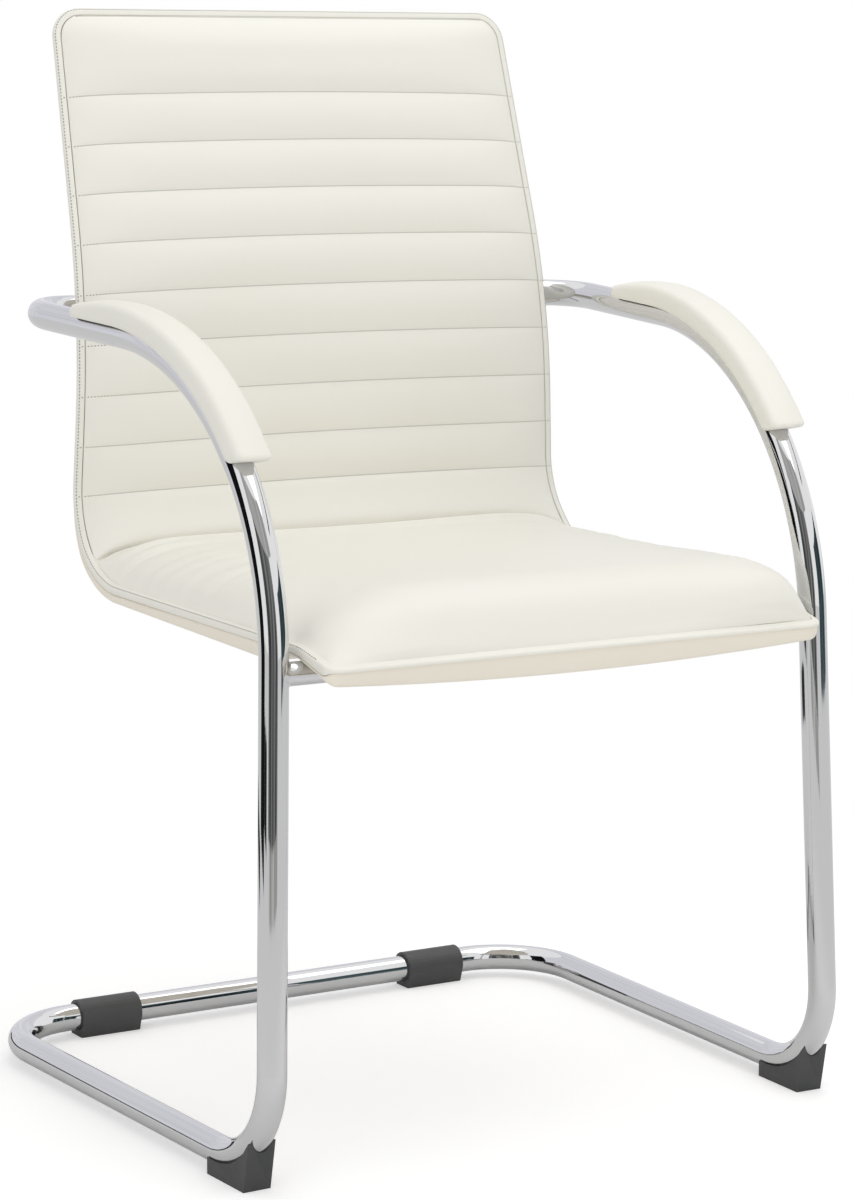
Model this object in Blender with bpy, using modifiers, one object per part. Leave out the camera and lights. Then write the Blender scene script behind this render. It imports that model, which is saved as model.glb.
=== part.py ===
"""Cantilever visitor chair: a bent tube frame, a quilted one-piece seat and back, and padded arms.

Metres, +Z up. The sitter faces -Y. The origin is on the floor under the middle of the chair.
"""

import math

import bmesh
import bpy
from mathutils import Matrix, Vector

# Fits
CLEARANCE = 0.0003
LAYER_GAP = 0.0004
EDGE_GAP = 0.0005

# Tube frame
TUBE_DIAMETER = 0.025
TUBE_WALL = 0.002
FLOOR_GAP = 0.006
FRAME_FRONT_Y = -0.2497
FRAME_REAR_Y = 0.2627
LEG_SEAT_GAP = 0.0112
LEG_SPLAY = 0.0283
LEG_LEAN = 0.0464
RAIL_TOE_OUT = 0.0152
ARM_FLARE = 0.0264
ARM_RISE = 0.2255
BACK_BAR_RISE = 0.239
BACK_BAR_SAG = 0.011
REAR_CORNER_RADIUS = 0.078
FRONT_BEND_RADIUS = 0.081
BOW_RADIUS = 0.260
ARM_CORNER_RADIUS = 0.058
BACK_BAR_BEND_RADIUS = 1.2
BACK_JOINT_GAP = 0.040
SPIGOT_HALF_LENGTH = 0.030

# Seat cross bar
SEAT_BAR_DIAMETER = 0.020
SEAT_BAR_WALL = 0.0015

# Seat and back shell: its edge line from the seat's front to the back's top
SEAT_HEIGHT = 0.450
SEAT_FRONT_Y = -0.2784
SEAT_FRONT_DROP = 0.014
KNEE_SETBACK = 0.052
KNEE_RADIUS = 0.060
SEAT_DEPTH = 0.449
SEAT_RISE = 0.0072
BEND_RADIUS = 0.085
LUMBAR_LEAN = -0.0035
LUMBAR_RISE = 0.2365
LUMBAR_RADIUS = 0.600
BACK_LEAN = 0.0797
BACK_RISE = 0.5105
SEAT_FRONT_HALF_WIDTH = 0.2475
BEND_HALF_WIDTH = 0.2580
TOP_HALF_WIDTH = 0.2382
FRONT_CORNER_RADIUS = 0.025
TOP_CORNER_RADIUS = 0.027

# Shell layers
CORE_THICKNESS = 0.005
COVER_FRONT_THICKNESS = 0.0022
COVER_BEND_THICKNESS = 0.0075
COVER_SEAT_THICKNESS = 0.0130
COVER_BACK_THICKNESS = 0.0015
COVER_TAPER_LENGTH = 0.110
COVER_RAMP_START = 0.066
COVER_RAMP_LENGTH = 0.030
BAND_WIDTH = 0.0072
BAND_RISE = 0.0035
BAND_ROUND = 0.0025
FASCIA_DEPTH = 0.0205
FASCIA_CORNER_DEPTH = 0.0125

# Quilted pad
PAD_EDGE = 0.0035
SEAT_FRONT_CROWN = 0.041
SEAT_REAR_CROWN = 0.029
BACK_CROWN = 0.0095
CROWN_POWER = 12
CROWN_FADE = 0.028
FRONT_FADE = 0.055
CORNER_FADE = 0.036
RIB_COUNT = 9
RIB_PITCH = 0.0465
RIB_DEPTH = 0.0045
RIB_SHOULDER = 0.12
TOP_PANEL = 0.080
STITCH_DIP = 0.0035

# Arm pads
PAD_BOW_DEGREES = 48.0
PAD_REAR_LENGTH = 0.068
PAD_SKIRT = 0.0080
PAD_BASE_EAR = 0.0017
PAD_BASE_WEB = 0.0050
PAD_BASE_INSET = 0.0010
PAD_WALL = 0.0032
PAD_CUSHION = 0.0100
PAD_REAR_CUSHION = 0.0015
PAD_TAPER_LENGTH = 0.075
PAD_RAKE = 0.55
PAD_RAKE_LENGTH = 0.060
PAD_ROUND = 0.006
PAD_SHOULDER_DROP = 0.15
PAD_SCREW_INSET = 0.055

# Feet and glides
FOOT_SETBACK = 0.0234
FOOT_LENGTH = 0.0602
FOOT_LEAN = 0.008
FOOT_EAR = 0.0005
FOOT_REAR_DROP = 0.004
FOOT_FRONT_DROP = 0.0135
FOOT_SCREW_SETBACK = 0.026
FOOT_BEND_SHARE = 0.83
GLIDE_BEND_GAP = 0.0075
GLIDE_LENGTH = 0.0615
GLIDE_WALL = 0.0032
GLIDE_SOLE_WIDTH = 0.022
GLIDE_WRAP_DEGREES = 20

# Fasteners
BOLT_DIAMETER = 0.006
BOLT_HEAD_DIAMETER = 0.012
BOLT_HEAD_HEIGHT = 0.004
BOLT_HOLE_PLAY = 0.0004
SEAT_BOLT_X = 0.150
BACK_BOLT_X = 0.120
SPACER_DIAMETER = 0.022
SPACER_LENGTH = 0.0155
NUT_FLANGE_DIAMETER = 0.018
NUT_FLANGE_THICKNESS = 0.0014
NUT_RECESS = 0.0012
NUT_BARREL_DIAMETER = 0.009
SCREW_DIAMETER = 0.004
SCREW_HEAD_DIAMETER = 0.0075
SCREW_HEAD_HEIGHT = 0.0024
SCREW_GRIP = 0.0042
SCREW_RECESS = 0.0006
TIP_SETBACK = 0.0008
HEAD_SIDE_SHARE = 0.6
HEAD_TOP_SHARE = 0.7
CUT_THROUGH = 0.003

# Facets
FACET_SAG = 0.0003
TUBE_SIDES = 12
CUTTER_SIDES = 24
HOLE_SIDES = 12
TURN_STEPS = 12
CORNER_STEPS = 5
FRONT_STEPS = 6
PAD_STEPS = 14
FOOT_STEPS = 7
SADDLE_STEPS = 8
GLIDE_STEPS = 18
TOP_CORNER_LEAD = 0.016
SHARP_DEGREES = 40
WELD = 1e-6
SEARCH_STEPS = 60

TUBE_RADIUS = TUBE_DIAMETER / 2
SEAT_BAR_RADIUS = SEAT_BAR_DIAMETER / 2
BOLT_RADIUS = BOLT_DIAMETER / 2
SCREW_RADIUS = SCREW_DIAMETER / 2
RAIL_Z = FLOOR_GAP + TUBE_RADIUS
PAD_INSET = BAND_WIDTH + EDGE_GAP
SIDES = (("left", -1), ("right", 1))
X_AXIS = Vector((1, 0, 0))
Y_AXIS = Vector((0, 1, 0))
Z_AXIS = Vector((0, 0, 1))

# Colour, roughness and metallic value of each finish
CHROME = ((0.60, 0.60, 0.59), 0.08, 1.0)
STEEL = ((0.42, 0.42, 0.43), 0.35, 1.0)
CREAM = ((0.84, 0.82, 0.77), 0.55, 0.0)
BEIGE = ((0.68, 0.62, 0.53), 0.60, 0.0)
BOARD = ((0.55, 0.38, 0.22), 0.70, 0.0)
FOOT_PLASTIC = ((0.065, 0.065, 0.067), 0.50, 0.0)
DARK_PLASTIC = ((0.055, 0.056, 0.058), 0.50, 0.0)


class Path:
    """A line through corners, rounded by an arc of its own radius at each inner corner."""

    def __init__(self, corners, radii):
        self.pieces = []
        self.length = 0.0
        start = corners[0]
        for before, corner, after, radius in zip(corners, corners[1:], corners[2:], radii):
            entry = (corner - before).normalized()
            leave = (after - corner).normalized()
            turn = entry.angle(leave)
            setback = radius * math.tan(turn / 2)
            arc_start = corner - entry * setback
            inward = (leave - entry * entry.dot(leave)).normalized()
            self.add_line(start, arc_start)
            self.add((turn * radius, arc_start + inward * radius, -inward, entry, radius))
            start = corner + leave * setback
        self.add_line(start, corners[-1])

    def add(self, piece):
        self.pieces.append((self.length, piece))
        self.length += piece[0]

    def add_line(self, start, end):
        self.add(((end - start).length, start, None, (end - start).normalized(), None))

    def arc_range(self, index):
        """Where the arc at an inner corner starts and ends, counted from 0."""
        begin, piece = self.pieces[2 * index + 1]
        return begin, begin + piece[0]

    def at(self, distance):
        """The point and the direction at a distance along the path."""
        begin, piece = self.pieces[0]
        for candidate_begin, candidate in self.pieces:
            if distance >= candidate_begin:
                begin, piece = candidate_begin, candidate
        run = distance - begin
        _, base, radial, direction, radius = piece
        if radial is None:
            return base + direction * run, direction.copy()
        angle = run / radius
        point = base + (radial * math.cos(angle) + direction * math.sin(angle)) * radius
        return point, direction * math.cos(angle) - radial * math.sin(angle)

    def stations(self, first, last):
        """Distances from first to last, close enough that no chord strays from its arc by FACET_SAG."""
        found = {first, last}
        for begin, piece in self.pieces:
            steps = 1
            if piece[2] is not None:
                radius = piece[4]
                steps = math.ceil(piece[0] / radius / (2 * math.acos(1 - FACET_SAG / radius)))
            found.update(begin + piece[0] * step / steps for step in range(steps + 1))
        inside = sorted(d for d in found if first - WELD <= d <= last + WELD)
        return [d for d, nxt in zip(inside, inside[1:] + [math.inf]) if nxt - d > WELD]

    def find(self, axis, value, first, last):
        """The distance between first and last where one coordinate reaches a value."""
        rising = self.at(last)[0][axis] > self.at(first)[0][axis]
        for _ in range(SEARCH_STEPS):
            middle = (first + last) / 2
            if (self.at(middle)[0][axis] < value) == rising:
                first = middle
            else:
                last = middle
        return (first + last) / 2


def clear_scene():
    for item in list(bpy.data.objects):
        bpy.data.objects.remove(item, do_unlink=True)


def make_collection(name):
    collection = bpy.data.collections.new(name)
    bpy.context.scene.collection.children.link(collection)
    return collection


clear_scene()
CHAIR = make_collection("Visitor_Chair")
CUTTERS = make_collection("Cutters")
ROOT = bpy.data.objects.new("chair_origin", None)
CHAIR.objects.link(ROOT)


def make_material(name, finish):
    colour, roughness, metallic = finish
    material = bpy.data.materials.new(name)
    material.use_nodes = True
    shader = material.node_tree.nodes["Principled BSDF"]
    shader.inputs["Base Color"].default_value = (*colour, 1.0)
    shader.inputs["Roughness"].default_value = roughness
    shader.inputs["Metallic"].default_value = metallic
    return material


def add_part(name, mesh, finish, matrix=Matrix()):
    """One piece of the chair, with its own material."""
    part = bpy.data.objects.new(name, mesh)
    mesh.materials.append(make_material(name, finish))
    if mesh.polygons:
        mesh.shade_smooth()
        mesh.set_sharp_from_angle(angle=math.radians(SHARP_DEGREES))
    CHAIR.objects.link(part)
    part.parent = ROOT
    part.matrix_world = matrix
    return part


def add_cutter(name, mesh, matrix=Matrix()):
    cutter = bpy.data.objects.new(name, mesh)
    CUTTERS.objects.link(cutter)
    cutter.matrix_world = matrix
    cutter.hide_render = True
    cutter.display_type = "WIRE"
    return cutter


def cut(part, cutter):
    modifier = part.modifiers.new(cutter.name, "BOOLEAN")
    modifier.operation = "DIFFERENCE"
    modifier.object = cutter


def axis_matrix(origin, direction):
    """A placement whose Z axis runs along a direction."""
    return Matrix.Translation(origin) @ direction.to_track_quat("Z", "Y").to_matrix().to_4x4()


def frame_matrix(origin, x_axis, y_axis, z_axis):
    rotation = Matrix((x_axis, y_axis, z_axis)).transposed()
    return Matrix.Translation(origin) @ rotation.to_4x4()


def mesh_of_curve(curve):
    """The welded mesh of a curve, which is then removed."""
    holder = bpy.data.objects.new(curve.name, curve)
    CUTTERS.objects.link(holder)
    graph = bpy.context.evaluated_depsgraph_get()
    mesh = bpy.data.meshes.new_from_object(holder.evaluated_get(graph))
    bpy.data.objects.remove(holder)
    shape = bmesh.new()
    shape.from_mesh(mesh)
    bmesh.ops.remove_doubles(shape, verts=shape.verts, dist=WELD)
    shape.to_mesh(mesh)
    shape.free()
    return mesh


def tube_mesh(name, points, radius, sides, capped):
    """A round bar along points, open at its ends unless capped."""
    curve = bpy.data.curves.new(name, "CURVE")
    curve.dimensions = "3D"
    curve.bevel_depth = radius
    curve.bevel_resolution = (sides - 4) // 2
    curve.use_fill_caps = capped
    spline = curve.splines.new("POLY")
    spline.points.add(len(points) - 1)
    for target, point in zip(spline.points, points):
        target.co = (*point, 1.0)
    return mesh_of_curve(curve)


def plate_mesh(name, outlines, thickness):
    """A flat outline, with any holes as further outlines, given a thickness."""
    curve = bpy.data.curves.new(name, "CURVE")
    curve.dimensions = "2D"
    curve.fill_mode = "BOTH"
    curve.extrude = thickness / 2
    for outline in outlines:
        spline = curve.splines.new("POLY")
        spline.use_cyclic_u = True
        spline.points.add(len(outline) - 1)
        for target, (x, y) in zip(spline.points, outline):
            target.co = (x, y, 0.0, 1.0)
    return mesh_of_curve(curve)


def loft_mesh(name, rings, closed):
    """A skin over rings of equal count, capped at both ends unless the rings close on themselves."""
    shape = bmesh.new()
    rows = [[shape.verts.new(point) for point in ring] for ring in rings]
    pairs = list(zip(rows, rows[1:]))
    if closed:
        pairs.append((rows[-1], rows[0]))
    for row, following in pairs:
        for index in range(len(row)):
            after = (index + 1) % len(row)
            shape.faces.new((row[index], row[after], following[after], following[index]))
    if not closed:
        shape.faces.new(rows[0])
        shape.faces.new(rows[-1])
    bmesh.ops.recalc_face_normals(shape, faces=shape.faces)
    if shape.calc_volume(signed=True) < 0:
        bmesh.ops.reverse_faces(shape, faces=shape.faces)
    mesh = bpy.data.meshes.new(name)
    shape.to_mesh(mesh)
    shape.free()
    return mesh


def profile_mesh(name, profile, closed):
    """The outline of a turned piece, as radius and height, from its top down the outer side."""
    mesh = bpy.data.meshes.new(name)
    edges = [(index, index + 1) for index in range(len(profile) - 1)]
    if closed:
        edges.append((len(profile) - 1, 0))
    mesh.from_pydata([(radius, 0.0, height) for radius, height in profile], edges, [])
    return mesh


def turn(part, steps):
    """Spins a profile round its Z axis."""
    modifier = part.modifiers.new("turn", "SCREW")
    modifier.steps = steps
    modifier.render_steps = steps
    modifier.use_merge_vertices = True
    modifier.merge_threshold = WELD
    modifier.use_smooth_shade = True


def bored_cutter(name, steps_of_bore, matrix):
    """A round cutter whose radius changes with height: (radius, top, bottom) from its top down."""
    profile = [(0.0, steps_of_bore[0][1])]
    for radius, top, bottom in steps_of_bore:
        circumscribed = radius / math.cos(math.pi / HOLE_SIDES)
        profile += [(circumscribed, top), (circumscribed, bottom)]
    profile.append((0.0, steps_of_bore[-1][2]))
    cutter = add_cutter(name, profile_mesh(name, profile, False), matrix)
    turn(cutter, HOLE_SIDES)
    return cutter


def add_screw(name, matrix, shank_radius, tip, head_radius, head_height):
    """A headed fastener: its head's seat is at height 0 and its shank rises to the tip."""
    profile = [
        (0.0, tip),
        (shank_radius, tip),
        (shank_radius, 0.0),
        (head_radius, 0.0),
        (head_radius, -head_height * HEAD_SIDE_SHARE),
        (head_radius * HEAD_TOP_SHARE, -head_height),
        (0.0, -head_height),
    ]
    turn(add_part(name, profile_mesh(name, profile, False), STEEL, matrix), TURN_STEPS)


def between(value, low, high):
    return max(low, min(high, value))


# Shell geometry

def shell_profile():
    """The shell's edge line in the middle plane, from the seat's front to the back's top."""
    knee_y = SEAT_FRONT_Y + KNEE_SETBACK
    bend_y = SEAT_FRONT_Y + SEAT_DEPTH
    lumbar_y = bend_y + LUMBAR_LEAN
    corners = [
        Vector((0, SEAT_FRONT_Y, SEAT_HEIGHT - SEAT_FRONT_DROP)),
        Vector((0, knee_y, SEAT_HEIGHT)),
        Vector((0, bend_y, SEAT_HEIGHT + SEAT_RISE)),
        Vector((0, lumbar_y, SEAT_HEIGHT + LUMBAR_RISE)),
        Vector((0, lumbar_y + BACK_LEAN, SEAT_HEIGHT + BACK_RISE)),
    ]
    return Path(corners, [KNEE_RADIUS, BEND_RADIUS, LUMBAR_RADIUS])


SHELL = shell_profile()
BEND_MIDDLE = sum(SHELL.arc_range(1)) / 2
FIRST_STITCH = SHELL.length - TOP_PANEL
CREASE = FIRST_STITCH - RIB_COUNT * RIB_PITCH


def shell_normal(distance):
    """The direction from the shell towards the sitter."""
    return X_AXIS.cross(SHELL.at(distance)[1])


def shell_point(x, distance, depth):
    """A point at x across and distance along the shell, depth in front of its edge line."""
    return SHELL.at(distance)[0] + X_AXIS * x + shell_normal(distance) * depth


def full_half_width(distance):
    """The shell's half width before its corners are rounded."""
    if distance < BEND_MIDDLE:
        share = distance / BEND_MIDDLE
        return SEAT_FRONT_HALF_WIDTH + (BEND_HALF_WIDTH - SEAT_FRONT_HALF_WIDTH) * share
    share = (distance - BEND_MIDDLE) / (SHELL.length - BEND_MIDDLE)
    return BEND_HALF_WIDTH + (TOP_HALF_WIDTH - BEND_HALF_WIDTH) * share


def rib_stations():
    """Distances along the quilted back: each stitch line, the rib's shoulders and its middle."""
    shares = (0.0, RIB_SHOULDER, 0.5, 1.0 - RIB_SHOULDER)
    ribs = [CREASE + RIB_PITCH * (rib + share) for rib in range(RIB_COUNT) for share in shares]
    return ribs + [FIRST_STITCH, FIRST_STITCH + RIB_PITCH * RIB_SHOULDER]


def shell_outline(inset):
    """Distance and half width along the shell's right edge, moved in from the outer edge."""
    front = FRONT_CORNER_RADIUS - inset
    top = TOP_CORNER_RADIUS - inset
    ribs = rib_stations()
    ramp = [COVER_RAMP_START, COVER_RAMP_START + COVER_RAMP_LENGTH]
    seat_end = CREASE - RIB_PITCH * RIB_SHOULDER
    seat = sorted(SHELL.stations(FRONT_CORNER_RADIUS, seat_end)[1:] + ramp)
    top_panel = [SHELL.length - TOP_CORNER_RADIUS - TOP_CORNER_LEAD]
    edge = []
    for step in range(CORNER_STEPS + 1):
        angle = math.pi / 2 * step / CORNER_STEPS
        distance = inset + front * (1 - math.cos(angle))
        edge.append((distance, full_half_width(distance) - inset - front * (1 - math.sin(angle))))
    edge += [(distance, full_half_width(distance) - inset) for distance in seat + ribs + top_panel]
    for step in range(CORNER_STEPS, -1, -1):
        angle = math.pi / 2 * step / CORNER_STEPS
        distance = SHELL.length - inset - top * (1 - math.cos(angle))
        edge.append((distance, full_half_width(distance) - inset - top * (1 - math.sin(angle))))
    return edge


def cover_thickness(distance):
    """Thin over the seat bar, thickest behind it, and thin again up the back."""
    behind = distance - COVER_RAMP_START
    along_seat = between(behind / (SHELL.arc_range(1)[0] - COVER_RAMP_START), 0.0, 1.0)
    full = COVER_SEAT_THICKNESS + (COVER_BEND_THICKNESS - COVER_SEAT_THICKNESS) * along_seat
    up_back = between((distance - BEND_MIDDLE) / COVER_TAPER_LENGTH, 0.0, 1.0)
    full += (COVER_BACK_THICKNESS - full) * up_back
    up_ramp = between(behind / COVER_RAMP_LENGTH, 0.0, 1.0)
    return COVER_FRONT_THICKNESS + (full - COVER_FRONT_THICKNESS) * up_ramp


def rear_depth(distance):
    """How far the rear face lies behind the shell's edge line."""
    return CORE_THICKNESS + LAYER_GAP + cover_thickness(distance)


def layer_mesh(name, front, rear):
    """A sheet inside the edge band between two depths, each a function of the distance."""
    rings = []
    for distance, half in shell_outline(PAD_INSET):
        corners = ((-half, front), (half, front), (half, rear), (-half, rear))
        rings.append([shell_point(x, distance, depth(distance)) for x, depth in corners])
    return loft_mesh(name, rings, False)


def pad_crown(distance, share):
    """The pad's height over its edge at a share of its half width."""
    from_front = distance - PAD_INSET - CORNER_FADE * share ** 6
    from_top = SHELL.length - PAD_INSET - distance
    front_end = 1 - (1 - between(from_front / FRONT_FADE, 0.0, 1.0)) ** 2.4
    top_end = 1 - (1 - between(from_top / CROWN_FADE, 0.0, 1.0)) ** 3
    ends = min(front_end, top_end)
    along_seat = between(distance / CREASE, 0.0, 1.0)
    seat_crown = SEAT_FRONT_CROWN + (SEAT_REAR_CROWN - SEAT_FRONT_CROWN) * along_seat
    on_back = between((distance - CREASE) / RIB_PITCH + 1.0, 0.0, 1.0)
    crown = seat_crown + (BACK_CROWN - seat_crown) * on_back ** 2 * (3 - 2 * on_back)
    rib = between((distance - CREASE) / RIB_PITCH, -0.5, RIB_COUNT + 0.5)
    valley = 1 - abs(math.sin(math.pi * rib)) ** 0.5
    return (crown * ends - RIB_DEPTH * valley) * (1 - abs(share) ** CROWN_POWER)


def stitch_dip(distance, share):
    """How far a stitch line drops towards its ends."""
    from_crease = between((distance - CREASE) / RIB_PITCH, 0.0, 1.0)
    from_top = between((SHELL.length - PAD_INSET - distance) / TOP_PANEL, 0.0, 1.0)
    return STITCH_DIP * from_crease * from_top * share ** 2


def front_pad_mesh():
    shares = (-1.0, -0.985, -0.95, -0.87, -0.5, 0.0, 0.5, 0.87, 0.95, 0.985, 1.0)
    rings = []
    for distance, half in shell_outline(PAD_INSET):
        ring = []
        for share in shares:
            along = distance - stitch_dip(distance, share)
            ring.append(shell_point(share * half, along, PAD_EDGE + pad_crown(distance, share)))
        sole = distance - stitch_dip(distance, 1.0)
        ring.append(shell_point(half, sole, LAYER_GAP))
        ring.append(shell_point(-half, sole, LAYER_GAP))
        rings.append(ring)
    return loft_mesh("front_pad", rings, False)


def edge_band_mesh():
    """The sewn border: a rounded strip round the shell, deeper along the seat's front."""
    outer = shell_outline(0.0)
    inner = shell_outline(BAND_WIDTH)

    def section(out, into, sign, low):
        def place(share, depth):
            x = out[1] + (into[1] - out[1]) * share
            distance = out[0] + (into[0] - out[0]) * share
            return shell_point(sign * x, distance, depth)

        rounding = BAND_ROUND / BAND_WIDTH
        heights = (
            (0.0, low),
            (0.0, BAND_RISE - BAND_ROUND),
            (rounding, BAND_RISE),
            (1.0 - rounding, BAND_RISE),
            (1.0, BAND_RISE - BAND_ROUND),
            (1.0, low),
        )
        return [place(share, depth) for share, depth in heights]

    def side(sign):
        rings = []
        for index, (out, into) in enumerate(zip(outer, inner)):
            low = -rear_depth(out[0])
            turned = between(index / CORNER_STEPS, 0.0, 1.0)
            rings.append(section(out, into, sign, low * turned - FASCIA_CORNER_DEPTH * (1 - turned)))
        return rings

    front = []
    for step in range(1, FRONT_STEPS):
        across = 2 * step / FRONT_STEPS - 1
        low = -FASCIA_DEPTH + (FASCIA_DEPTH - FASCIA_CORNER_DEPTH) * across ** 2
        out = (outer[0][0], outer[0][1] * across)
        into = (inner[0][0], inner[0][1] * across)
        front.append(section(out, into, 1, low))
    return loft_mesh("edge_band", side(-1)[::-1] + front + side(1), True)


# Frame geometry

def shell_seat_of(target_y, target_z):
    """The distance along the shell whose normal passes through a point in the middle plane."""
    target = Vector((0, target_y, target_z))
    first, last = 0.0, SHELL.length
    for _ in range(SEARCH_STEPS):
        middle = (first + last) / 2
        point, direction = SHELL.at(middle)
        if (target - point).dot(direction) > 0:
            first = middle
        else:
            last = middle
    return (first + last) / 2


def back_bar_middle():
    """The middle of the back bar, which stands off the shell's rear face by the spacers."""
    distance = SHELL.find(2, SEAT_HEIGHT + BACK_BAR_RISE, BEND_MIDDLE, SHELL.length)
    stand_off = SPACER_LENGTH + 2 * CLEARANCE + TUBE_RADIUS
    return shell_point(0, distance, -rear_depth(distance) - stand_off)


def frame_corners(sign):
    """Corners of half the tube loop, from the rear floor bar's middle to the back bar's middle."""
    leg_x = SEAT_FRONT_HALF_WIDTH + LEG_SEAT_GAP + TUBE_RADIUS
    arm_z = SEAT_HEIGHT + ARM_RISE
    front_x = leg_x + LEG_SPLAY * (SEAT_HEIGHT - RAIL_Z)
    bow_x = leg_x - LEG_SPLAY * ARM_RISE
    bow_y = FRAME_FRONT_Y + LEG_LEAN * (arm_z - RAIL_Z)
    bar = back_bar_middle()
    return [
        Vector((0, FRAME_REAR_Y, RAIL_Z)),
        Vector((sign * (front_x + RAIL_TOE_OUT), FRAME_REAR_Y, RAIL_Z)),
        Vector((sign * front_x, FRAME_FRONT_Y, RAIL_Z)),
        Vector((sign * bow_x, bow_y, arm_z)),
        Vector((sign * (bow_x + ARM_FLARE), bar.y, bar.z + BACK_BAR_SAG)),
        bar,
    ]


def frame_path(sign):
    radii = [REAR_CORNER_RADIUS, FRONT_BEND_RADIUS, BOW_RADIUS, ARM_CORNER_RADIUS]
    return Path(frame_corners(sign), radii)


FRAME = {label: frame_path(sign) for label, sign in SIDES}
GLIDE_X = FRAME["right"].arc_range(0)[0] - GLIDE_BEND_GAP - GLIDE_LENGTH / 2


def add_tube(name, points, radius, wall):
    """An open tube of chromed steel."""
    part = add_part(name, tube_mesh(name, points, radius, TUBE_SIDES, False), CHROME)
    shell = part.modifiers.new("wall", "SOLIDIFY")
    shell.thickness = wall
    shell.offset = -1
    shell.use_even_offset = True
    return part


def path_points(path, first, last):
    return [path.at(distance)[0] for distance in path.stations(first, last)]


def tube_cutter(name, path, first, last):
    """The space that a frame tube takes, with its clearance."""
    radius = (TUBE_RADIUS + CLEARANCE) / math.cos(math.pi / CUTTER_SIDES)
    points = path_points(path, first, last)
    return add_cutter(name, tube_mesh(name, points, radius, CUTTER_SIDES, True))


def back_joint(path):
    """The distance along half the loop at which the side tube meets the back bar."""
    return path.arc_range(3)[1] + BACK_JOINT_GAP


def add_side_tube(label):
    path = FRAME[label]
    first = GLIDE_X + CLEARANCE / 2
    last = back_joint(path) - CLEARANCE / 2
    return add_tube("side_tube_" + label, path_points(path, first, last), TUBE_RADIUS, TUBE_WALL)


def add_rear_floor_bar():
    end = GLIDE_X - CLEARANCE / 2
    points = [Vector((x, FRAME_REAR_Y, RAIL_Z)) for x in (-end, end)]
    add_tube("rear_floor_bar", points, TUBE_RADIUS, TUBE_WALL)


def back_bar_path():
    corners = [FRAME["left"].at(back_joint(FRAME["left"]))[0], back_bar_middle()]
    corners.append(FRAME["right"].at(back_joint(FRAME["right"]))[0])
    return Path(corners, [BACK_BAR_BEND_RADIUS])


def add_back_cross_bar(path):
    first, last = CLEARANCE / 2, path.length - CLEARANCE / 2
    return add_tube("back_cross_bar", path_points(path, first, last), TUBE_RADIUS, TUBE_WALL)


def add_spigots(label):
    """Solid plugs that hold the tube joints together from the inside."""
    radius = (TUBE_RADIUS - TUBE_WALL) * math.cos(math.pi / TUBE_SIDES) - CLEARANCE
    path = FRAME[label]
    for name, middle in (("floor", GLIDE_X), ("back", back_joint(path))):
        point, direction = path.at(middle)
        reach = direction * SPIGOT_HALF_LENGTH
        mesh = tube_mesh(name, [point - reach, point + reach], radius, TUBE_SIDES, True)
        add_part(name + "_spigot_" + label, mesh, STEEL)


# Seat cross bar

def leg_distance(path, height):
    return path.find(2, height, path.arc_range(1)[1], path.arc_range(2)[1])


def seat_bar_seat():
    """The distance along the shell under which the seat bar lies between the legs."""
    path = FRAME["right"]
    first, last = 0.0, SHELL.arc_range(1)[0]
    for _ in range(SEARCH_STEPS):
        middle = (first + last) / 2
        centre = seat_bar_centre(middle)
        if centre.y < path.at(leg_distance(path, centre.z))[0].y:
            first = middle
        else:
            last = middle
    return (first + last) / 2


def seat_bar_centre(distance):
    return shell_point(0, distance, -rear_depth(distance) - CLEARANCE - SEAT_BAR_RADIUS)


SEAT_BAR_SEAT = seat_bar_seat()


def add_seat_cross_bar():
    """A straight tube whose ends are coped to the legs."""
    centre = seat_bar_centre(SEAT_BAR_SEAT)
    legs = [FRAME[label].at(leg_distance(FRAME[label], centre.z))[0].x for label, _ in SIDES]
    points = [Vector((x, centre.y, centre.z)) for x in legs]
    bar = add_tube("seat_cross_bar", points, SEAT_BAR_RADIUS, SEAT_BAR_WALL)
    for label, _ in SIDES:
        middle = leg_distance(FRAME[label], centre.z)
        first, last = middle - 2 * SEAT_BAR_DIAMETER, middle + 2 * SEAT_BAR_DIAMETER
        cut(bar, tube_cutter("leg_space_" + label, FRAME[label], first, last))
    return bar


# Fasteners of the shell

def bolt_shell(name, x, distance, bar_depth, bar_radius, pieces):
    """A bolt through a bar into a flanged nut in the core, and the holes for both."""
    place = axis_matrix(shell_point(x, distance, 0.0), shell_normal(distance))
    rear = -rear_depth(distance)
    seat = -bar_depth - bar_radius - CLEARANCE
    nut_seat = -NUT_RECESS - NUT_FLANGE_THICKNESS
    hole = BOLT_RADIUS + BOLT_HOLE_PLAY
    flange, barrel = NUT_FLANGE_DIAMETER / 2, NUT_BARREL_DIAMETER / 2
    core_rear = -CORE_THICKNESS - LAYER_GAP / 2
    bores = [
        (flange + CLEARANCE, CUT_THROUGH, nut_seat - CLEARANCE),
        (barrel + CLEARANCE, nut_seat - CLEARANCE, core_rear),
        (hole, core_rear, seat - CUT_THROUGH),
    ]
    cutter = bored_cutter(name + "_hole", bores, place)
    for piece in pieces:
        cut(piece, cutter)
    nut_foot = TIP_SETBACK - CORE_THICKNESS
    nut = [
        (flange, -NUT_RECESS),
        (flange, nut_seat),
        (barrel, nut_seat),
        (barrel, nut_foot),
        (BOLT_RADIUS + CLEARANCE, nut_foot),
        (BOLT_RADIUS + CLEARANCE, -NUT_RECESS),
    ]
    nut_name = name.replace("bolt", "tee_nut")
    turn(add_part(nut_name, profile_mesh(nut_name, nut, True), STEEL, place), TURN_STEPS)
    bolt_place = place @ Matrix.Translation((0, 0, seat))
    tip = -NUT_RECESS - TIP_SETBACK - seat
    add_screw(name, bolt_place, BOLT_RADIUS, tip, BOLT_HEAD_DIAMETER / 2, BOLT_HEAD_HEIGHT)
    return place, rear


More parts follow.
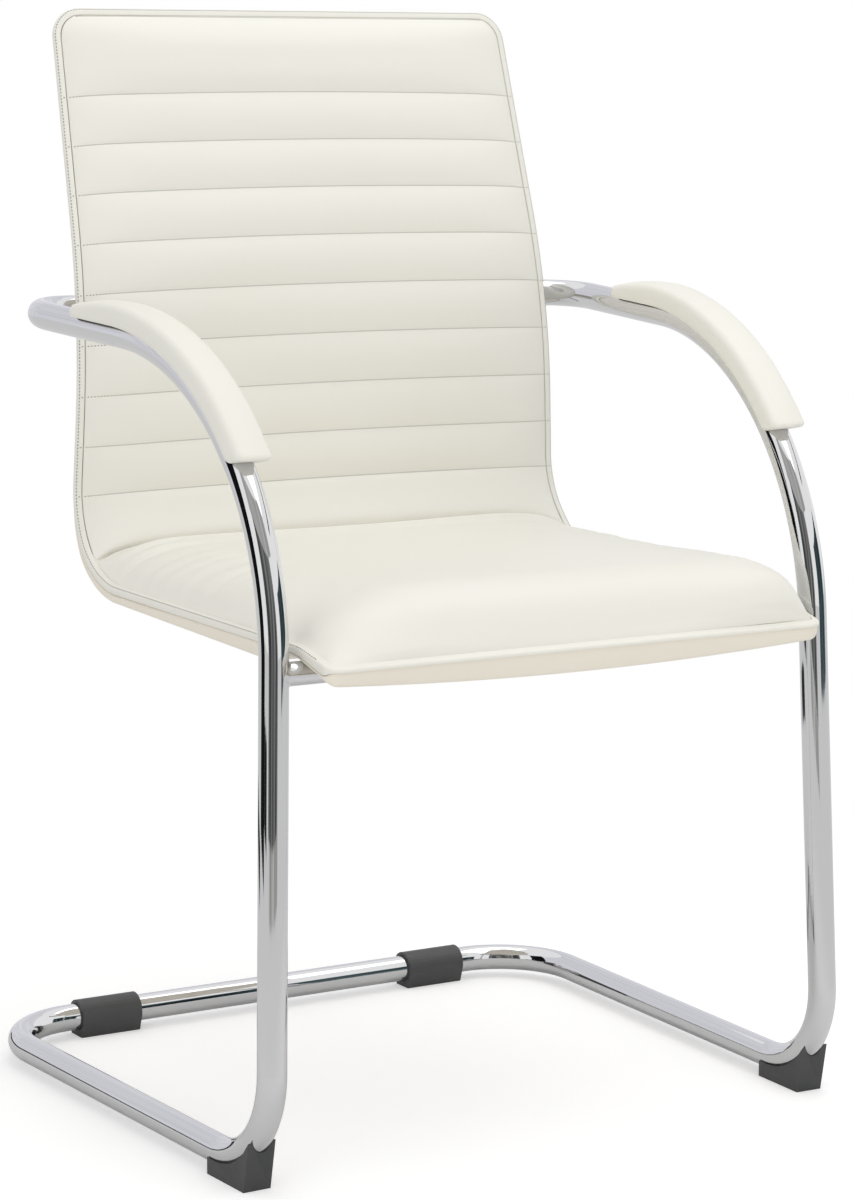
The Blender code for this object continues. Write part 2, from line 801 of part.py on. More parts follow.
def add_seat_bolts(core, cover, bar):
    depth = rear_depth(SEAT_BAR_SEAT) + CLEARANCE + SEAT_BAR_RADIUS
    for label, sign in SIDES:
        name = "seat_bolt_" + label
        bolt_shell(name, sign * SEAT_BOLT_X, SEAT_BAR_SEAT, depth, SEAT_BAR_RADIUS, (core, cover, bar))


def add_back_bolts(core, cover, bar, path):
    for label, sign in SIDES:
        at_bolt = path.find(0, sign * BACK_BOLT_X, 0.0, path.length)
        centre, direction = path.at(at_bolt)
        distance = shell_seat_of(centre.y, centre.z)
        depth = (shell_point(centre.x, distance, 0.0) - centre).dot(shell_normal(distance))
        name = "back_bolt_" + label
        place, rear = bolt_shell(name, centre.x, distance, depth, TUBE_RADIUS, (core, cover, bar))
        add_spacer(label, place, rear - CLEARANCE, -depth + TUBE_RADIUS / 2, centre, direction)


def add_spacer(label, place, top, bottom, bar_centre, bar_direction):
    """A collar round the bolt, hollowed to the back bar at its rear end."""
    outer, inner = SPACER_DIAMETER / 2, BOLT_RADIUS + BOLT_HOLE_PLAY
    name = "back_spacer_" + label
    profile = [(outer, top), (outer, bottom), (inner, bottom), (inner, top)]
    spacer = add_part(name, profile_mesh(name, profile, True), DARK_PLASTIC, place)
    turn(spacer, TURN_STEPS)
    space = [(TUBE_RADIUS + CLEARANCE, SPACER_DIAMETER, -SPACER_DIAMETER)]
    cut(spacer, bored_cutter("bar_space_" + label, space, axis_matrix(bar_centre, bar_direction)))


# Arm pads

PAD_BASE_HALF = TUBE_RADIUS + CLEARANCE + PAD_BASE_EAR
PAD_BASE_TOP = TUBE_RADIUS + CLEARANCE + PAD_BASE_WEB
PAD_HALF = PAD_BASE_HALF + CLEARANCE + PAD_WALL


class ArmPad:
    """Placing on one arm: across the tube, out from it, and along its bow."""

    def __init__(self, label):
        self.label = label
        self.path = FRAME[label]
        bow_first, bow_last = self.path.arc_range(2)
        self.first = bow_last - math.radians(PAD_BOW_DEGREES) * BOW_RADIUS
        self.last = bow_last + PAD_REAR_LENGTH
        leg, arm = self.path.at(bow_first)[1], self.path.at(bow_last)[1]
        self.across = arm.cross(leg).normalized()

    def outward(self, distance):
        return self.across.cross(self.path.at(distance)[1])

    def point(self, distance, x, height):
        centre = self.path.at(distance)[0]
        return centre + self.across * x + self.outward(distance) * height

    def distances(self, inset):
        first, last = self.first + inset, self.last - inset
        return [first + (last - first) * step / PAD_STEPS for step in range(PAD_STEPS + 1)]

    def raked(self, distance, x, height):
        """A point of the skin, which leans forward with the height towards the front end."""
        share = between(1 - (distance - self.first) / PAD_RAKE_LENGTH, 0.0, 1.0)
        lean = -self.path.at(self.first)[1] * PAD_RAKE * share
        return self.point(distance, x, height) + lean * (height - PAD_SKIRT)

    def cushion_mesh(self, name):
        """A cap over the base, with a cavity that follows the rake in its front end only."""
        rings = []
        for step, distance in enumerate(self.distances(0.0)):
            ring = [self.raked(distance, x, height) for x, height in self.cushion_section(distance)]
            inner, roof = PAD_BASE_HALF + CLEARANCE, PAD_BASE_TOP + CLEARANCE
            place = self.raked if step == 0 else self.point
            for x, height in ((inner, PAD_SKIRT), (inner, roof), (-inner, roof), (-inner, PAD_SKIRT)):
                ring.append(place(distance, x, height))
            rings.append(ring)
        return loft_mesh(name, rings, False)

    def base_mesh(self, name):
        distances = self.distances(PAD_BASE_INSET)
        rings = [[self.point(d, x, height) for x, height in self.base_section()] for d in distances]
        return loft_mesh(name, rings, False)

    def cushion_section(self, distance):
        """The crowned outside with rounded shoulders, thinner towards the rear."""
        share = between((distance - self.last) / PAD_TAPER_LENGTH + 1, 0.0, 1.0)
        cushion = PAD_CUSHION + (PAD_REAR_CUSHION - PAD_CUSHION) * share ** 2
        top = PAD_BASE_TOP + CLEARANCE + cushion
        shoulder = [(PAD_HALF, PAD_SKIRT)]
        for degrees in (0, 30, 60):
            angle = math.radians(degrees)
            x = PAD_HALF - PAD_ROUND * (1 - math.cos(angle))
            shoulder.append((x, top - cushion * PAD_SHOULDER_DROP - PAD_ROUND * (1 - math.sin(angle))))
        left = [(-x, height) for x, height in shoulder]
        return left + [(0.0, top)] + shoulder[::-1]

    def base_section(self):
        """A saddle over the upper half of the tube."""
        radius = (TUBE_RADIUS + CLEARANCE) / math.cos(math.pi / SADDLE_STEPS / 2)
        low = math.asin(PAD_SKIRT / radius)
        turn_by = (math.pi - 2 * low) / SADDLE_STEPS
        angles = [low + turn_by * step for step in range(SADDLE_STEPS + 1)]
        saddle = [(radius * math.cos(angle), radius * math.sin(angle)) for angle in angles]
        half, roof = PAD_BASE_HALF, PAD_BASE_TOP
        return [(-half, PAD_SKIRT), (-half, roof), (half, roof), (half, PAD_SKIRT)] + saddle


def add_arm_pad(label, tube):
    pad = ArmPad(label)
    name = "arm_pad_" + label
    add_part(name, pad.cushion_mesh(name), CREAM)
    base_name = "arm_pad_base_" + label
    base = add_part(base_name, pad.base_mesh(base_name), DARK_PLASTIC)
    ends = (("front", pad.first + PAD_SCREW_INSET), ("rear", pad.last - PAD_SCREW_INSET))
    head_radius = SCREW_HEAD_DIAMETER / 2
    inside = TUBE_RADIUS - TUBE_WALL
    head_seat = math.sqrt(inside ** 2 - head_radius ** 2) - 2 * CLEARANCE
    for end, distance in ends:
        place = axis_matrix(pad.point(distance, 0.0, head_seat), pad.outward(distance))
        tip = TUBE_RADIUS + CLEARANCE + SCREW_GRIP - head_seat
        screw = "arm_pad_screw_" + end + "_" + label
        add_screw(screw, place, SCREW_RADIUS, tip, head_radius, SCREW_HEAD_HEIGHT)
        bores = [
            (SCREW_RADIUS + BOLT_HOLE_PLAY, tip + CLEARANCE, -head_seat),
            (head_radius + BOLT_HOLE_PLAY, -head_seat, -head_seat - TUBE_RADIUS - CUT_THROUGH),
        ]
        cutter = bored_cutter(screw + "_hole", bores, place)
        cut(tube, cutter)
        cut(base, cutter)


# Feet and glides

def add_front_foot(label, sign, tube):
    """A block under the front bend whose ears rise beside the tube."""
    path = FRAME[label]
    rear_corner, corner = frame_corners(sign)[1:3]
    back = (rear_corner - corner).normalized()
    floor = Vector((corner.x, corner.y, 0))
    place = frame_matrix(floor, back, Z_AXIS, back.cross(Z_AXIS))
    bend_first, bend_last = path.arc_range(1)
    rail_first = path.arc_range(0)[1]
    bend_limit = bend_first + (bend_last - bend_first) * FOOT_BEND_SHARE

    def on_tube(setback):
        return path.find(1, corner.y + back.y * setback, rail_first, bend_limit)

    front, rear = FOOT_SETBACK, FOOT_SETBACK + FOOT_LENGTH
    outline = [(front, 0.0), (rear, 0.0)]
    for step in range(FOOT_STEPS + 1):
        share = step / FOOT_STEPS
        setback = rear + (front - FOOT_LEAN - rear) * share
        drop = FOOT_REAR_DROP + (FOOT_FRONT_DROP - FOOT_REAR_DROP) * share
        outline.append((setback, path.at(on_tube(setback))[0].z - drop))
    name = "front_foot_" + label
    width = TUBE_DIAMETER + 2 * FOOT_EAR
    foot = add_part(name, plate_mesh(name, [outline], width), FOOT_PLASTIC, place)
    reach = FOOT_LENGTH / 2
    cut(foot, tube_cutter("bend_space_" + label, path, bend_first - reach, bend_last + reach))

    screw_setback = front + FOOT_SCREW_SETBACK
    centre, direction = path.at(on_tube(screw_setback))
    tube_underside = centre.z - TUBE_RADIUS / math.hypot(direction.x, direction.y)
    seat = SCREW_RECESS + SCREW_HEAD_HEIGHT
    tip = tube_underside + TUBE_WALL + SCREW_GRIP - seat
    screw = "foot_screw_" + label
    screw_place = Matrix.Translation(Vector((centre.x, centre.y, seat)))
    add_screw(screw, screw_place, SCREW_RADIUS, tip, SCREW_HEAD_DIAMETER / 2, SCREW_HEAD_HEIGHT)
    bores = [
        (SCREW_RADIUS + BOLT_HOLE_PLAY, tip + CLEARANCE, CLEARANCE),
        (SCREW_HEAD_DIAMETER / 2 + CLEARANCE, CLEARANCE, -seat - CUT_THROUGH),
    ]
    cutter = bored_cutter(screw + "_hole", bores, screw_place)
    cut(foot, cutter)
    cut(tube, cutter)


def arc_outline(radius, first, last, steps):
    """Points round an arc in degrees, both ends included."""
    angles = [math.radians(first + (last - first) * step / steps) for step in range(steps + 1)]
    return [(radius * math.cos(angle), radius * math.sin(angle)) for angle in angles]


def add_rear_glide(label, sign):
    """A sleeve round the rear floor bar with a flat sole."""
    sole = GLIDE_SOLE_WIDTH / 2
    wrap = (-GLIDE_WRAP_DEGREES, 180 + GLIDE_WRAP_DEGREES)
    outer = arc_outline(TUBE_RADIUS + CLEARANCE + GLIDE_WALL, *wrap, GLIDE_STEPS)
    outer += [(-sole, -RAIL_Z), (sole, -RAIL_Z)]
    bore_radius = (TUBE_RADIUS + CLEARANCE) / math.cos(math.pi / CUTTER_SIDES)
    bore = arc_outline(bore_radius, 0, 360, CUTTER_SIDES)[:-1]
    name = "rear_glide_" + label
    place = frame_matrix(Vector((sign * GLIDE_X, FRAME_REAR_Y, RAIL_Z)), Y_AXIS, Z_AXIS, X_AXIS)
    add_part(name, plate_mesh(name, [outer, bore], GLIDE_LENGTH), DARK_PLASTIC, place)


def add_shell():
    core = layer_mesh("shell_core", lambda s: 0.0, lambda s: -CORE_THICKNESS)
    cover = layer_mesh("rear_cover", lambda s: -CORE_THICKNESS - LAYER_GAP, lambda s: -rear_depth(s))
    add_part("front_pad", front_pad_mesh(), CREAM)
    add_part("edge_band", edge_band_mesh(), BEIGE)
    return add_part("shell_core", core, BOARD), add_part("rear_cover", cover, BEIGE)


def main():
    core, cover = add_shell()
    back_path = back_bar_path()
    add_rear_floor_bar()
    add_seat_bolts(core, cover, add_seat_cross_bar())
    add_back_bolts(core, cover, add_back_cross_bar(back_path), back_path)
    for label, sign in SIDES:
        tube = add_side_tube(label)
        add_spigots(label)
        add_arm_pad(label, tube)
        add_front_foot(label, sign, tube)
        add_rear_glide(label, sign)


main()
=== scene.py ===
"""Looks of the cantilever visitor chair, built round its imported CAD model."""

import math

import bmesh
import bpy
import numpy as np
from mathutils import Matrix, Vector
from mathutils.bvhtree import BVHTree


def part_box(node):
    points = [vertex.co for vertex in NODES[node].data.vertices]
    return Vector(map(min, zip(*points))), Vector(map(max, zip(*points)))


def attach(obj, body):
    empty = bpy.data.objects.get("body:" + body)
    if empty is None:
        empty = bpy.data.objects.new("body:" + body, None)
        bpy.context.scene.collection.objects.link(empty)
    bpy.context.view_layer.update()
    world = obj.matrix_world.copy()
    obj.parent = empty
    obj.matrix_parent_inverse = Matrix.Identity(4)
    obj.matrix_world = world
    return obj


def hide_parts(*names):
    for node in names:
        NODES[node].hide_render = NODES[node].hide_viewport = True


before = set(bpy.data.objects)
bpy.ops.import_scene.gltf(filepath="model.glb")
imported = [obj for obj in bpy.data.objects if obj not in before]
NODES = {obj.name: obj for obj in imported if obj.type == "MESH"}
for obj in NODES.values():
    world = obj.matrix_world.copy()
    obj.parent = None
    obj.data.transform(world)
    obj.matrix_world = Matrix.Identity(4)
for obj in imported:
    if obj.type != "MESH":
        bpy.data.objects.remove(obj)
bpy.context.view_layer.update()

BODY = "root"
X_AXIS = Vector((1, 0, 0))
SIDES = (("left", -1), ("right", 1))

# Sizes of the tube frame, in metres, as in the CAD model
CLEARANCE = 0.0003
LAYER_GAP = 0.0004
TUBE_RADIUS = 0.0125
TUBE_WALL = 0.002
RAIL_Z = 0.006 + TUBE_RADIUS
FRAME_FRONT_Y = -0.2497
FRAME_REAR_Y = 0.2627
LEG_SEAT_GAP = 0.0112
LEG_SPLAY = 0.0283
LEG_LEAN = 0.0464
RAIL_TOE_OUT = 0.0152
ARM_FLARE = 0.0264
ARM_RISE = 0.2255
BACK_BAR_RISE = 0.239
BACK_BAR_SAG = 0.011
REAR_CORNER_RADIUS = 0.078
FRONT_BEND_RADIUS = 0.081
BOW_RADIUS = 0.260
ARM_CORNER_RADIUS = 0.058
BACK_BAR_BEND_RADIUS = 1.2
BACK_JOINT_GAP = 0.040
GLIDE_BEND_GAP = 0.0075
GLIDE_LENGTH = 0.0615
SPACER_LENGTH = 0.0155
SEAT_BAR_RADIUS = 0.010
SEAT_BAR_WALL = 0.0015
WELD = 0.0022

# Sizes of the seat and back shell, with corners, crown and ribs as the photograph shows them
SEAT_HEIGHT = 0.450
SEAT_FRONT_Y = -0.2784
SEAT_FRONT_DROP = 0.014
KNEE_SETBACK = 0.052
KNEE_RADIUS = 0.060
SEAT_DEPTH = 0.449
SEAT_RISE = 0.0072
BEND_RADIUS = 0.085
LUMBAR_LEAN = -0.0035
LUMBAR_RISE = 0.2365
LUMBAR_RADIUS = 0.600
BACK_LEAN = 0.0797
BACK_RISE = 0.5105
SEAT_FRONT_HALF_WIDTH = 0.2475
BEND_HALF_WIDTH = 0.2580
TOP_HALF_WIDTH = 0.2382
FRONT_CORNER_RADIUS = 0.012
TOP_CORNER_RADIUS = 0.027
CORE_THICKNESS = 0.005
COVER_FRONT_THICKNESS = 0.0022
COVER_BEND_THICKNESS = 0.0075
COVER_SEAT_THICKNESS = 0.0130
COVER_BACK_THICKNESS = 0.0015
COVER_TAPER_LENGTH = 0.110
COVER_RAMP_START = 0.066
COVER_RAMP_LENGTH = 0.030
BAND_WIDTH = 0.0072
FASCIA_DEPTH = 0.0205
FASCIA_CORNER_DEPTH = 0.0125
PAD_INSET = BAND_WIDTH - 0.00028
PAD_EDGE = 0.0035
SEAT_FRONT_CROWN = 0.041
SEAT_REAR_CROWN = 0.027
BACK_CROWN = 0.0095
CROWN_POWER = 12
CROWN_FADE = 0.028
FRONT_FADE = 0.055
CORNER_FADE = 0.001
FULL_CORNER_FADE = 0.030
FULL_CROWN_POWER = 20
FULL_SHARES = (0.30, 0.92)
SOFT_SHARES = (0.10, 0.80)
SOFT_PART = 0.75
FRONT_REACH = (0.04, 0.20)
FRONT_END_POWER = 2.4
BACK_START = (-0.50, 0.04)
RIB_COUNT = 9
RIB_PITCH = 0.0449
LOWEST_RIB = 0.0593
RIB_DEPTH = 0.0030
TOP_PANEL = 0.080
STITCH_DIP = 0.0035
SIDE_DIP = 0.012
SIDE_DIP_POWER = 14

# Sizes of the arm pads
PAD_BOW_DEGREES = 48.0
PAD_REAR_LENGTH = 0.068
PAD_SKIRT = 0.0080
PAD_BASE_HALF = TUBE_RADIUS + CLEARANCE + 0.0017
PAD_BASE_TOP = TUBE_RADIUS + CLEARANCE + 0.0050
PAD_BASE_INSET = 0.0010
PAD_HALF = PAD_BASE_HALF + CLEARANCE + 0.0032
PAD_CUSHION = 0.0100
PAD_REAR_CUSHION = 0.0015
PAD_TAPER_LENGTH = 0.075
PAD_RAKE = 0.55
PAD_RAKE_LENGTH = 0.060
PAD_END_ROUND = 0.0048
PAD_FRONT_NOSE = 0.0045
PAD_REAR_NOSE = 0.0008
PAD_SHOULDER = 0.0070
PAD_TOP_CROWN = 0.0012
PAD_WALL_SWELL = 0.0003
PAD_LIP = 0.0008
PAD_ROWS = 60

# Details that only the looks have
TUBE_SIDES = 40
TUBE_SAG = 0.00003
END_SUPPORT = 0.002
WELD_REACH = 0.006
PAD_COLUMNS = 24
PAD_ROW_STEP = 0.0075
COVER_ROW_STEP = 0.006
EDGE_STEP = 0.004
CORNER_STEPS = 14
STITCH_PITCH = 0.0030
STITCH_LENGTH = 0.0018
STITCH_RADIUS = 0.00052
STITCH_SIDES = 5
STITCH_SEARCH = 0.012
STITCH_DEPTH = 0.0033
SEAM_STEPS = 120
SEAM_END = 0.0012
TICK_INSETS = (0.0062, 0.0050, 0.0038, 0.0026, 0.0016)
TICK_DEPTH = 0.0036
STRIP_LOW = -0.0052
STRIP_RIM = 0.0045
STRIP_BACK_RIM = 0.0030
STRIP_STITCH_INSET = 0.0014
STRIP_STITCH_START = 0.010
TOP_STITCH_INSET = 0.0010
SEAT_SIDE_DROP = 0.0022
SIDE_DROP_START = (0.012, 0.070)
SIDE_DROP_WIDTH = 0.012
WRINKLE_PITCH = 0.028
WRINKLE_HEIGHT = 0.0062
WRINKLE_START = (0.008, 0.030)
WRINKLE_END = (0.17, 0.29)
WRINKLE_EDGE = (0.001, 0.010)
WRINKLE_REACH = (0.020, 0.130)
WRINKLE_FADE = 0.93
CREASE_DEPTH = 0.0075
CREASE_WIDTH = 0.0019
CREASE_EDGE_POWER = 60
CREASE_ROWS = (-0.0026, -0.0007, 0.0007, 0.0026)
SEAT_GROOVE = 0.0004
BACK_GROOVE = 0.0006
GROOVE_WIDTH = 0.0016
COVER_TUCK = 0.0016
COVER_TUCK_WIDTH = 0.006
PUFF_FRAMES = 20
PUFF_PRESSURE = 4.0
PUFF_CAP = 0.0016
SOFT_EDGE = 0.0008
SHARP_ANGLE = 40.0
HEAD_SIDES = 36
SOCKET_SHARE = 0.45

# Camera and light: turns in degrees, places in metres, powers in watts
CAMERA_PLACE = (-1.6541, -2.72425, 0.9473)
CAMERA_TURN = (-31.4713, 9.0604, 0.5)
FOCAL_PIXELS = 3595.8
IMAGE_HEIGHT = 1200
AMBIENT = 0.625
FLOOR_RADIUS = 14.0
FLOOR_LIFT = 0.37
FLOOR_IN_CHROME = 0.72
FLOOR_FADE = (0.45, 1.3)
FLAG_STEP = 3
BLACK = (0.010, 0.011, 0.012)
DARK_GREY = (0.03, 0.03, 0.03)

# Name, place, target, size, power, and whether the chrome shows it
LAMPS = (
    ("top_softbox", (0.4, -0.25, 2.6), (0, 0, 0.45), (2.6, 2.2), 23.0, True),
    ("front_softbox", (0.5, -1.9, 0.55), (0, -0.28, 0.46), (1.4, 0.8), 4.6, False),
    ("left_softbox", (-2.6, -1.2, 0.7), (0, 0, 0.4), (1.6, 1.2), 13.0, False),
)

# Name, first and last turn round the chair, low, high, radius, shade, and depth of its streaks
FLAGS = (
    ("flag_left", -122, -90, 0.0, 1.6, 1.78, BLACK, 0.6),
    ("flag_side", -98, -74, 0.0, 0.16, 2.35, DARK_GREY, 0.8),
    ("board_low", -58, -4, 0.0, 0.10, 1.95, (0.44, 0.44, 0.42), 0.45),
    ("board_camera", -64, -4, 0.0, 2.1, 2.75, (0.14, 0.145, 0.14), 0.7),
    ("board_upper", -68, 18, 2.1, 3.8, 2.75, (0.45, 0.45, 0.44), 0.2),
    ("flag_right", 24, 72, 0.04, 1.5, 3.3, (0.05, 0.075, 0.082), 0.8),
    ("flag_high", 48, 98, 1.80, 1.95, 2.2, BLACK, 0.0),
    ("flag_rear", -170, -122, 0.0, 0.075, 1.18, DARK_GREY, 0.3),
    ("board_rear", 125, 245, 0.10, 7.0, 8.9, (0.78, 0.78, 0.83), 0.1),
)


class Path:
    """A line through corners, rounded by an arc of its own radius at each inner corner."""

    def __init__(self, corners, radii):
        self.pieces = []
        self.length = 0.0
        start = corners[0]
        for before, corner, after, radius in zip(corners, corners[1:], corners[2:], radii):
            entry = (corner - before).normalized()
            leave = (after - corner).normalized()
            turn = entry.angle(leave)
            setback = radius * math.tan(turn / 2)
            arc_start = corner - entry * setback
            inward = (leave - entry * entry.dot(leave)).normalized()
            self.add_line(start, arc_start)
            self.add((turn * radius, arc_start + inward * radius, -inward, entry, radius))
            start = corner + leave * setback
        self.add_line(start, corners[-1])

    def add(self, piece):
        self.pieces.append((self.length, piece))
        self.length += piece[0]

    def add_line(self, start, end):
        self.add(((end - start).length, start, None, (end - start).normalized(), None))

    def arc_range(self, index):
        """Where the arc at an inner corner starts and ends, counted from 0."""
        begin, piece = self.pieces[2 * index + 1]
        return begin, begin + piece[0]

    def at(self, distance):
        """The point and the direction at a distance along the path."""
        begin, piece = self.pieces[0]
        for candidate_begin, candidate in self.pieces:
            if distance >= candidate_begin:
                begin, piece = candidate_begin, candidate
        run = distance - begin
        _, base, radial, direction, radius = piece
        if radial is None:
            return base + direction * run, direction.copy()
        angle = run / radius
        point = base + (radial * math.cos(angle) + direction * math.sin(angle)) * radius
        return point, direction * math.cos(angle) - radial * math.sin(angle)

    def stations(self, first, last):
        """Distances that follow the arcs closely, with one more just beside each end of an arc."""
        found = {first, last}
        for begin, piece in self.pieces:
            end = begin + piece[0]
            if piece[2] is None:
                found.update((begin + END_SUPPORT, end - END_SUPPORT))
                continue
            radius = piece[4]
            steps = math.ceil(piece[0] / radius / (2 * math.acos(1 - TUBE_SAG / radius)))
            found.update(begin + piece[0] * step / steps for step in range(steps + 1))
        inside = sorted(d for d in found if first <= d <= last)
        return [d for d, nxt in zip(inside, inside[1:] + [math.inf]) if nxt - d > 1e-4]

    def find(self, axis, value, first, last):
        """The distance between first and last where one coordinate reaches a value."""
        rising = self.at(last)[0][axis] > self.at(first)[0][axis]
        for _ in range(50):
            middle = (first + last) / 2
            if (self.at(middle)[0][axis] < value) == rising:
                first = middle
            else:
                last = middle
        return (first + last) / 2


def between(value, low=0.0, high=1.0):
    return max(low, min(high, value))


def mix(first, second, share):
    return first + (second - first) * share


def inner_steps(first, last, count):
    """Even steps between first and last, without either."""
    return [first + (last - first) * index / count for index in range(1, count)]


def end_round(gap, radius):
    """How far a rounded edge has drawn back at a gap from the end."""
    into = between(gap / radius)
    return radius * (1 - math.sqrt(1 - (1 - into) ** 2))


def smooth(value, low, high):
    """A smooth step from 0 at low to 1 at high."""
    share = between((value - low) / (high - low))
    return share * share * (3 - 2 * share)


# Materials

class Nodes:
    """The node tree of a material or a world."""

    def __init__(self, owner):
        owner.use_nodes = True
        self.tree = owner.node_tree

    def set(self, node, socket, value):
        target = node.inputs[socket]
        if isinstance(value, bpy.types.NodeSocket):
            self.tree.links.new(value, target)
        elif target.type == "RGBA":
            target.default_value = (*value, 1.0)
        else:
            target.default_value = value

    def node(self, kind, inputs=None, output=0, **settings):
        """Adds a node and returns one of its outputs."""
        made = self.tree.nodes.new("ShaderNode" + kind)
        for key, value in settings.items():
            setattr(made, key, value)
        for socket, value in (inputs or {}).items():
            self.set(made, socket, value)
        return made.outputs[output]

    def spread(self, value, low, high, start=0.0, end=1.0, **settings):
        """Maps a value between start and end to a range."""
        inputs = {"Value": value, "From Min": start, "From Max": end, "To Min": low, "To Max": high}
        return self.node("MapRange", inputs, "Result", **settings)

    def seen_directly(self):
        """1 for rays from the camera, from mirrors and through glass, and 0 for diffuse light."""
        seen = self.node("LightPath", output="Is Camera Ray")
        for ray in ("Is Glossy Ray", "Is Transmission Ray"):
            seen = self.node("Math", {0: seen, 1: self.node("LightPath", output=ray)}, operation="MAXIMUM")
        return seen


class Shader(Nodes):
    """A node material with a Principled shader, in the object's own coordinates."""

    def __init__(self, name, **values):
        self.material = bpy.data.materials.new(name)
        super().__init__(self.material)
        self.main = self.tree.nodes["Principled BSDF"]
        for socket, value in values.items():
            self.set(self.main, socket.replace("_", " "), value)
        self.where = self.node("TexCoord", output="Object")

    def noise(self, scale, detail=3.0, vector=None):
        inputs = {"Vector": vector or self.where, "Scale": scale, "Detail": detail}
        return self.node("TexNoise", inputs, "Fac")

    def cells(self, feature, scale):
        return self.node("TexVoronoi", {"Vector": self.where, "Scale": scale}, "Distance", feature=feature)

    def blend(self, factor, first, second):
        return self.node("Mix", {0: factor, 6: first, 7: second}, 2, data_type="RGBA")

    def bump(self, height, distance, strength, normal=None):
        inputs = {"Height": height, "Distance": distance, "Strength": strength}
        if normal is not None:
            inputs["Normal"] = normal
        return self.node("Bump", inputs, "Normal")

    def stretched(self, *scale):
        return self.node("Mapping", {"Vector": self.where, "Scale": scale})

    def finish(self, colour, roughness, normal):
        for socket, value in (("Base Color", colour), ("Roughness", roughness), ("Normal", normal)):
            self.set(self.main, socket, value)
        return self.material

    def show(self, surface):
        """Shows another surface than the Principled shader's."""
        self.set(self.tree.nodes["Material Output"], "Surface", surface)
        return self.material


def leather(name, pale, deep, roughness):
    """Coated upholstery: broad shade changes, fine grain and pores."""
    shader = Shader(name, Specular_IOR_Level=0.42)
    broad = shader.noise(6.0)
    pores = shader.cells("F1", 1100.0)
    cells = shader.cells("DISTANCE_TO_EDGE", 620.0)
    tint = shader.blend(shader.spread(broad, 0.0, 0.7), pale, deep)
    fine = shader.spread(cells, roughness + 0.04, roughness - 0.04)
    rough = shader.node("Math", {0: shader.spread(broad, -0.05, 0.05), 1: fine}, operation="ADD")
    grain = shader.bump(pores, 0.00006, 0.25, shader.bump(cells, 0.00012, 0.35))
    return shader.finish(tint, rough, shader.bump(shader.noise(38.0), 0.0007, 0.25, grain))


def chrome(name):
    """Bright plating with faint wipe marks and a very slight waviness."""
    shader = Shader(name, Metallic=1.0)
    marks = shader.noise(60.0, 6.0, shader.stretched(1.0, 0.35, 0.35))
    haze = shader.blend(shader.noise(9.0), (0.70, 0.70, 0.715), (0.75, 0.75, 0.755))
    waves = shader.bump(shader.noise(22.0), 0.0004, 0.06)
    return shader.finish(haze, shader.spread(marks, 0.02, 0.075), waves)


def plastic(name, colour, worn):
    """Moulded plastic with a fine spark texture, paler along its edges."""
    shader = Shader(name)
    edge = shader.spread(shader.node("NewGeometry", output="Pointiness"), 0.0, 0.6, 0.52, 0.62)
    patches = shader.blend(shader.noise(45.0, 5.0), colour, tuple(c * 1.35 for c in colour))
    rough = shader.spread(shader.noise(140.0, 4.0), 0.38, 0.58)
    sparks = shader.bump(shader.noise(1900.0, 2.0), 0.00008, 0.6)
    return shader.finish(shader.blend(edge, patches, worn), rough, sparks)


def plated_steel(name):
    """Zinc plated steel with turning marks and dull patches."""
    shader = Shader(name, Metallic=1.0)
    patches = shader.blend(shader.noise(120.0, 5.0), (0.40, 0.41, 0.43), (0.62, 0.61, 0.58))
    marks = shader.bump(shader.noise(2400.0, 2.0), 0.00004, 0.5)
    return shader.finish(patches, shader.spread(shader.noise(700.0), 0.24, 0.46), marks)


def plywood(name):
    """Bent birch board with long grain."""
    shader = Shader(name)
    inputs = {"Vector": shader.stretched(1.0, 0.08, 0.08), "Scale": 70.0, "Distortion": 5.0, "Detail": 3.0}
    grain = shader.node("TexWave", inputs, "Fac", bands_direction="X")
    tint = shader.blend(grain, (0.62, 0.45, 0.27), (0.50, 0.34, 0.19))
    rough = shader.spread(shader.noise(200.0), 0.55, 0.75)
    return shader.finish(tint, rough, shader.bump(grain, 0.0002, 0.4))


def thread(name, colour):
    """Twisted sewing thread. Its grey colour is partly painted shade: it stands in for the shadow in the
    needle holes along the seams.
    """
    shader = Shader(name, Sheen_Weight=0.2)
    twist = shader.noise(2500.0, 2.0)
    tint = shader.blend(twist, colour, tuple(c * 0.75 for c in colour))
    return shader.finish(tint, shader.spread(twist, 0.55, 0.8), shader.bump(twist, 0.00008, 0.6))


# Mesh making

def link_object(name, data):
    made = bpy.data.objects.new(name, data)
    bpy.context.scene.collection.objects.link(made)
    return made


def add_object(name, mesh, material, nodes=(), sharp_angle=SHARP_ANGLE):
    """A piece of the object, which may stand for CAD nodes."""
    mesh.materials.append(material)
    mesh.shade_smooth()
    mesh.set_sharp_from_angle(angle=math.radians(sharp_angle))
    piece = link_object(name, mesh)
    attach(piece, BODY)
    if nodes:
        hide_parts(*nodes)
    return piece


def loft_faces(rows, count, base=0, closed=False):
    """Faces over rings of points, capped at both ends unless the rings close on themselves."""
    faces = []
    for row in range(rows if closed else rows - 1):
        low = base + row * count
        high = base + (row + 1) % rows * count
        for index in range(count):
            after = (index + 1) % count
            faces.append((low + index, low + after, high + after, high + index))
    if not closed:
        faces += [tuple(range(start, start + count)) for start in (base, base + (rows - 1) * count)]
    return faces


def plain_mesh(name, points, faces):
    mesh = bpy.data.meshes.new(name)
    mesh.from_pydata(points, [], faces)
    return mesh


def solid_mesh(name, points, faces):
    """A mesh whose faces all look outward."""
    mesh = plain_mesh(name, points, faces)
    shape = bmesh.new()
    shape.from_mesh(mesh)
    bmesh.ops.recalc_face_normals(shape, faces=shape.faces)
    if shape.calc_volume(signed=True) < 0:
        bmesh.ops.reverse_faces(shape, faces=shape.faces)
    shape.to_mesh(mesh)
    shape.free()
    return mesh


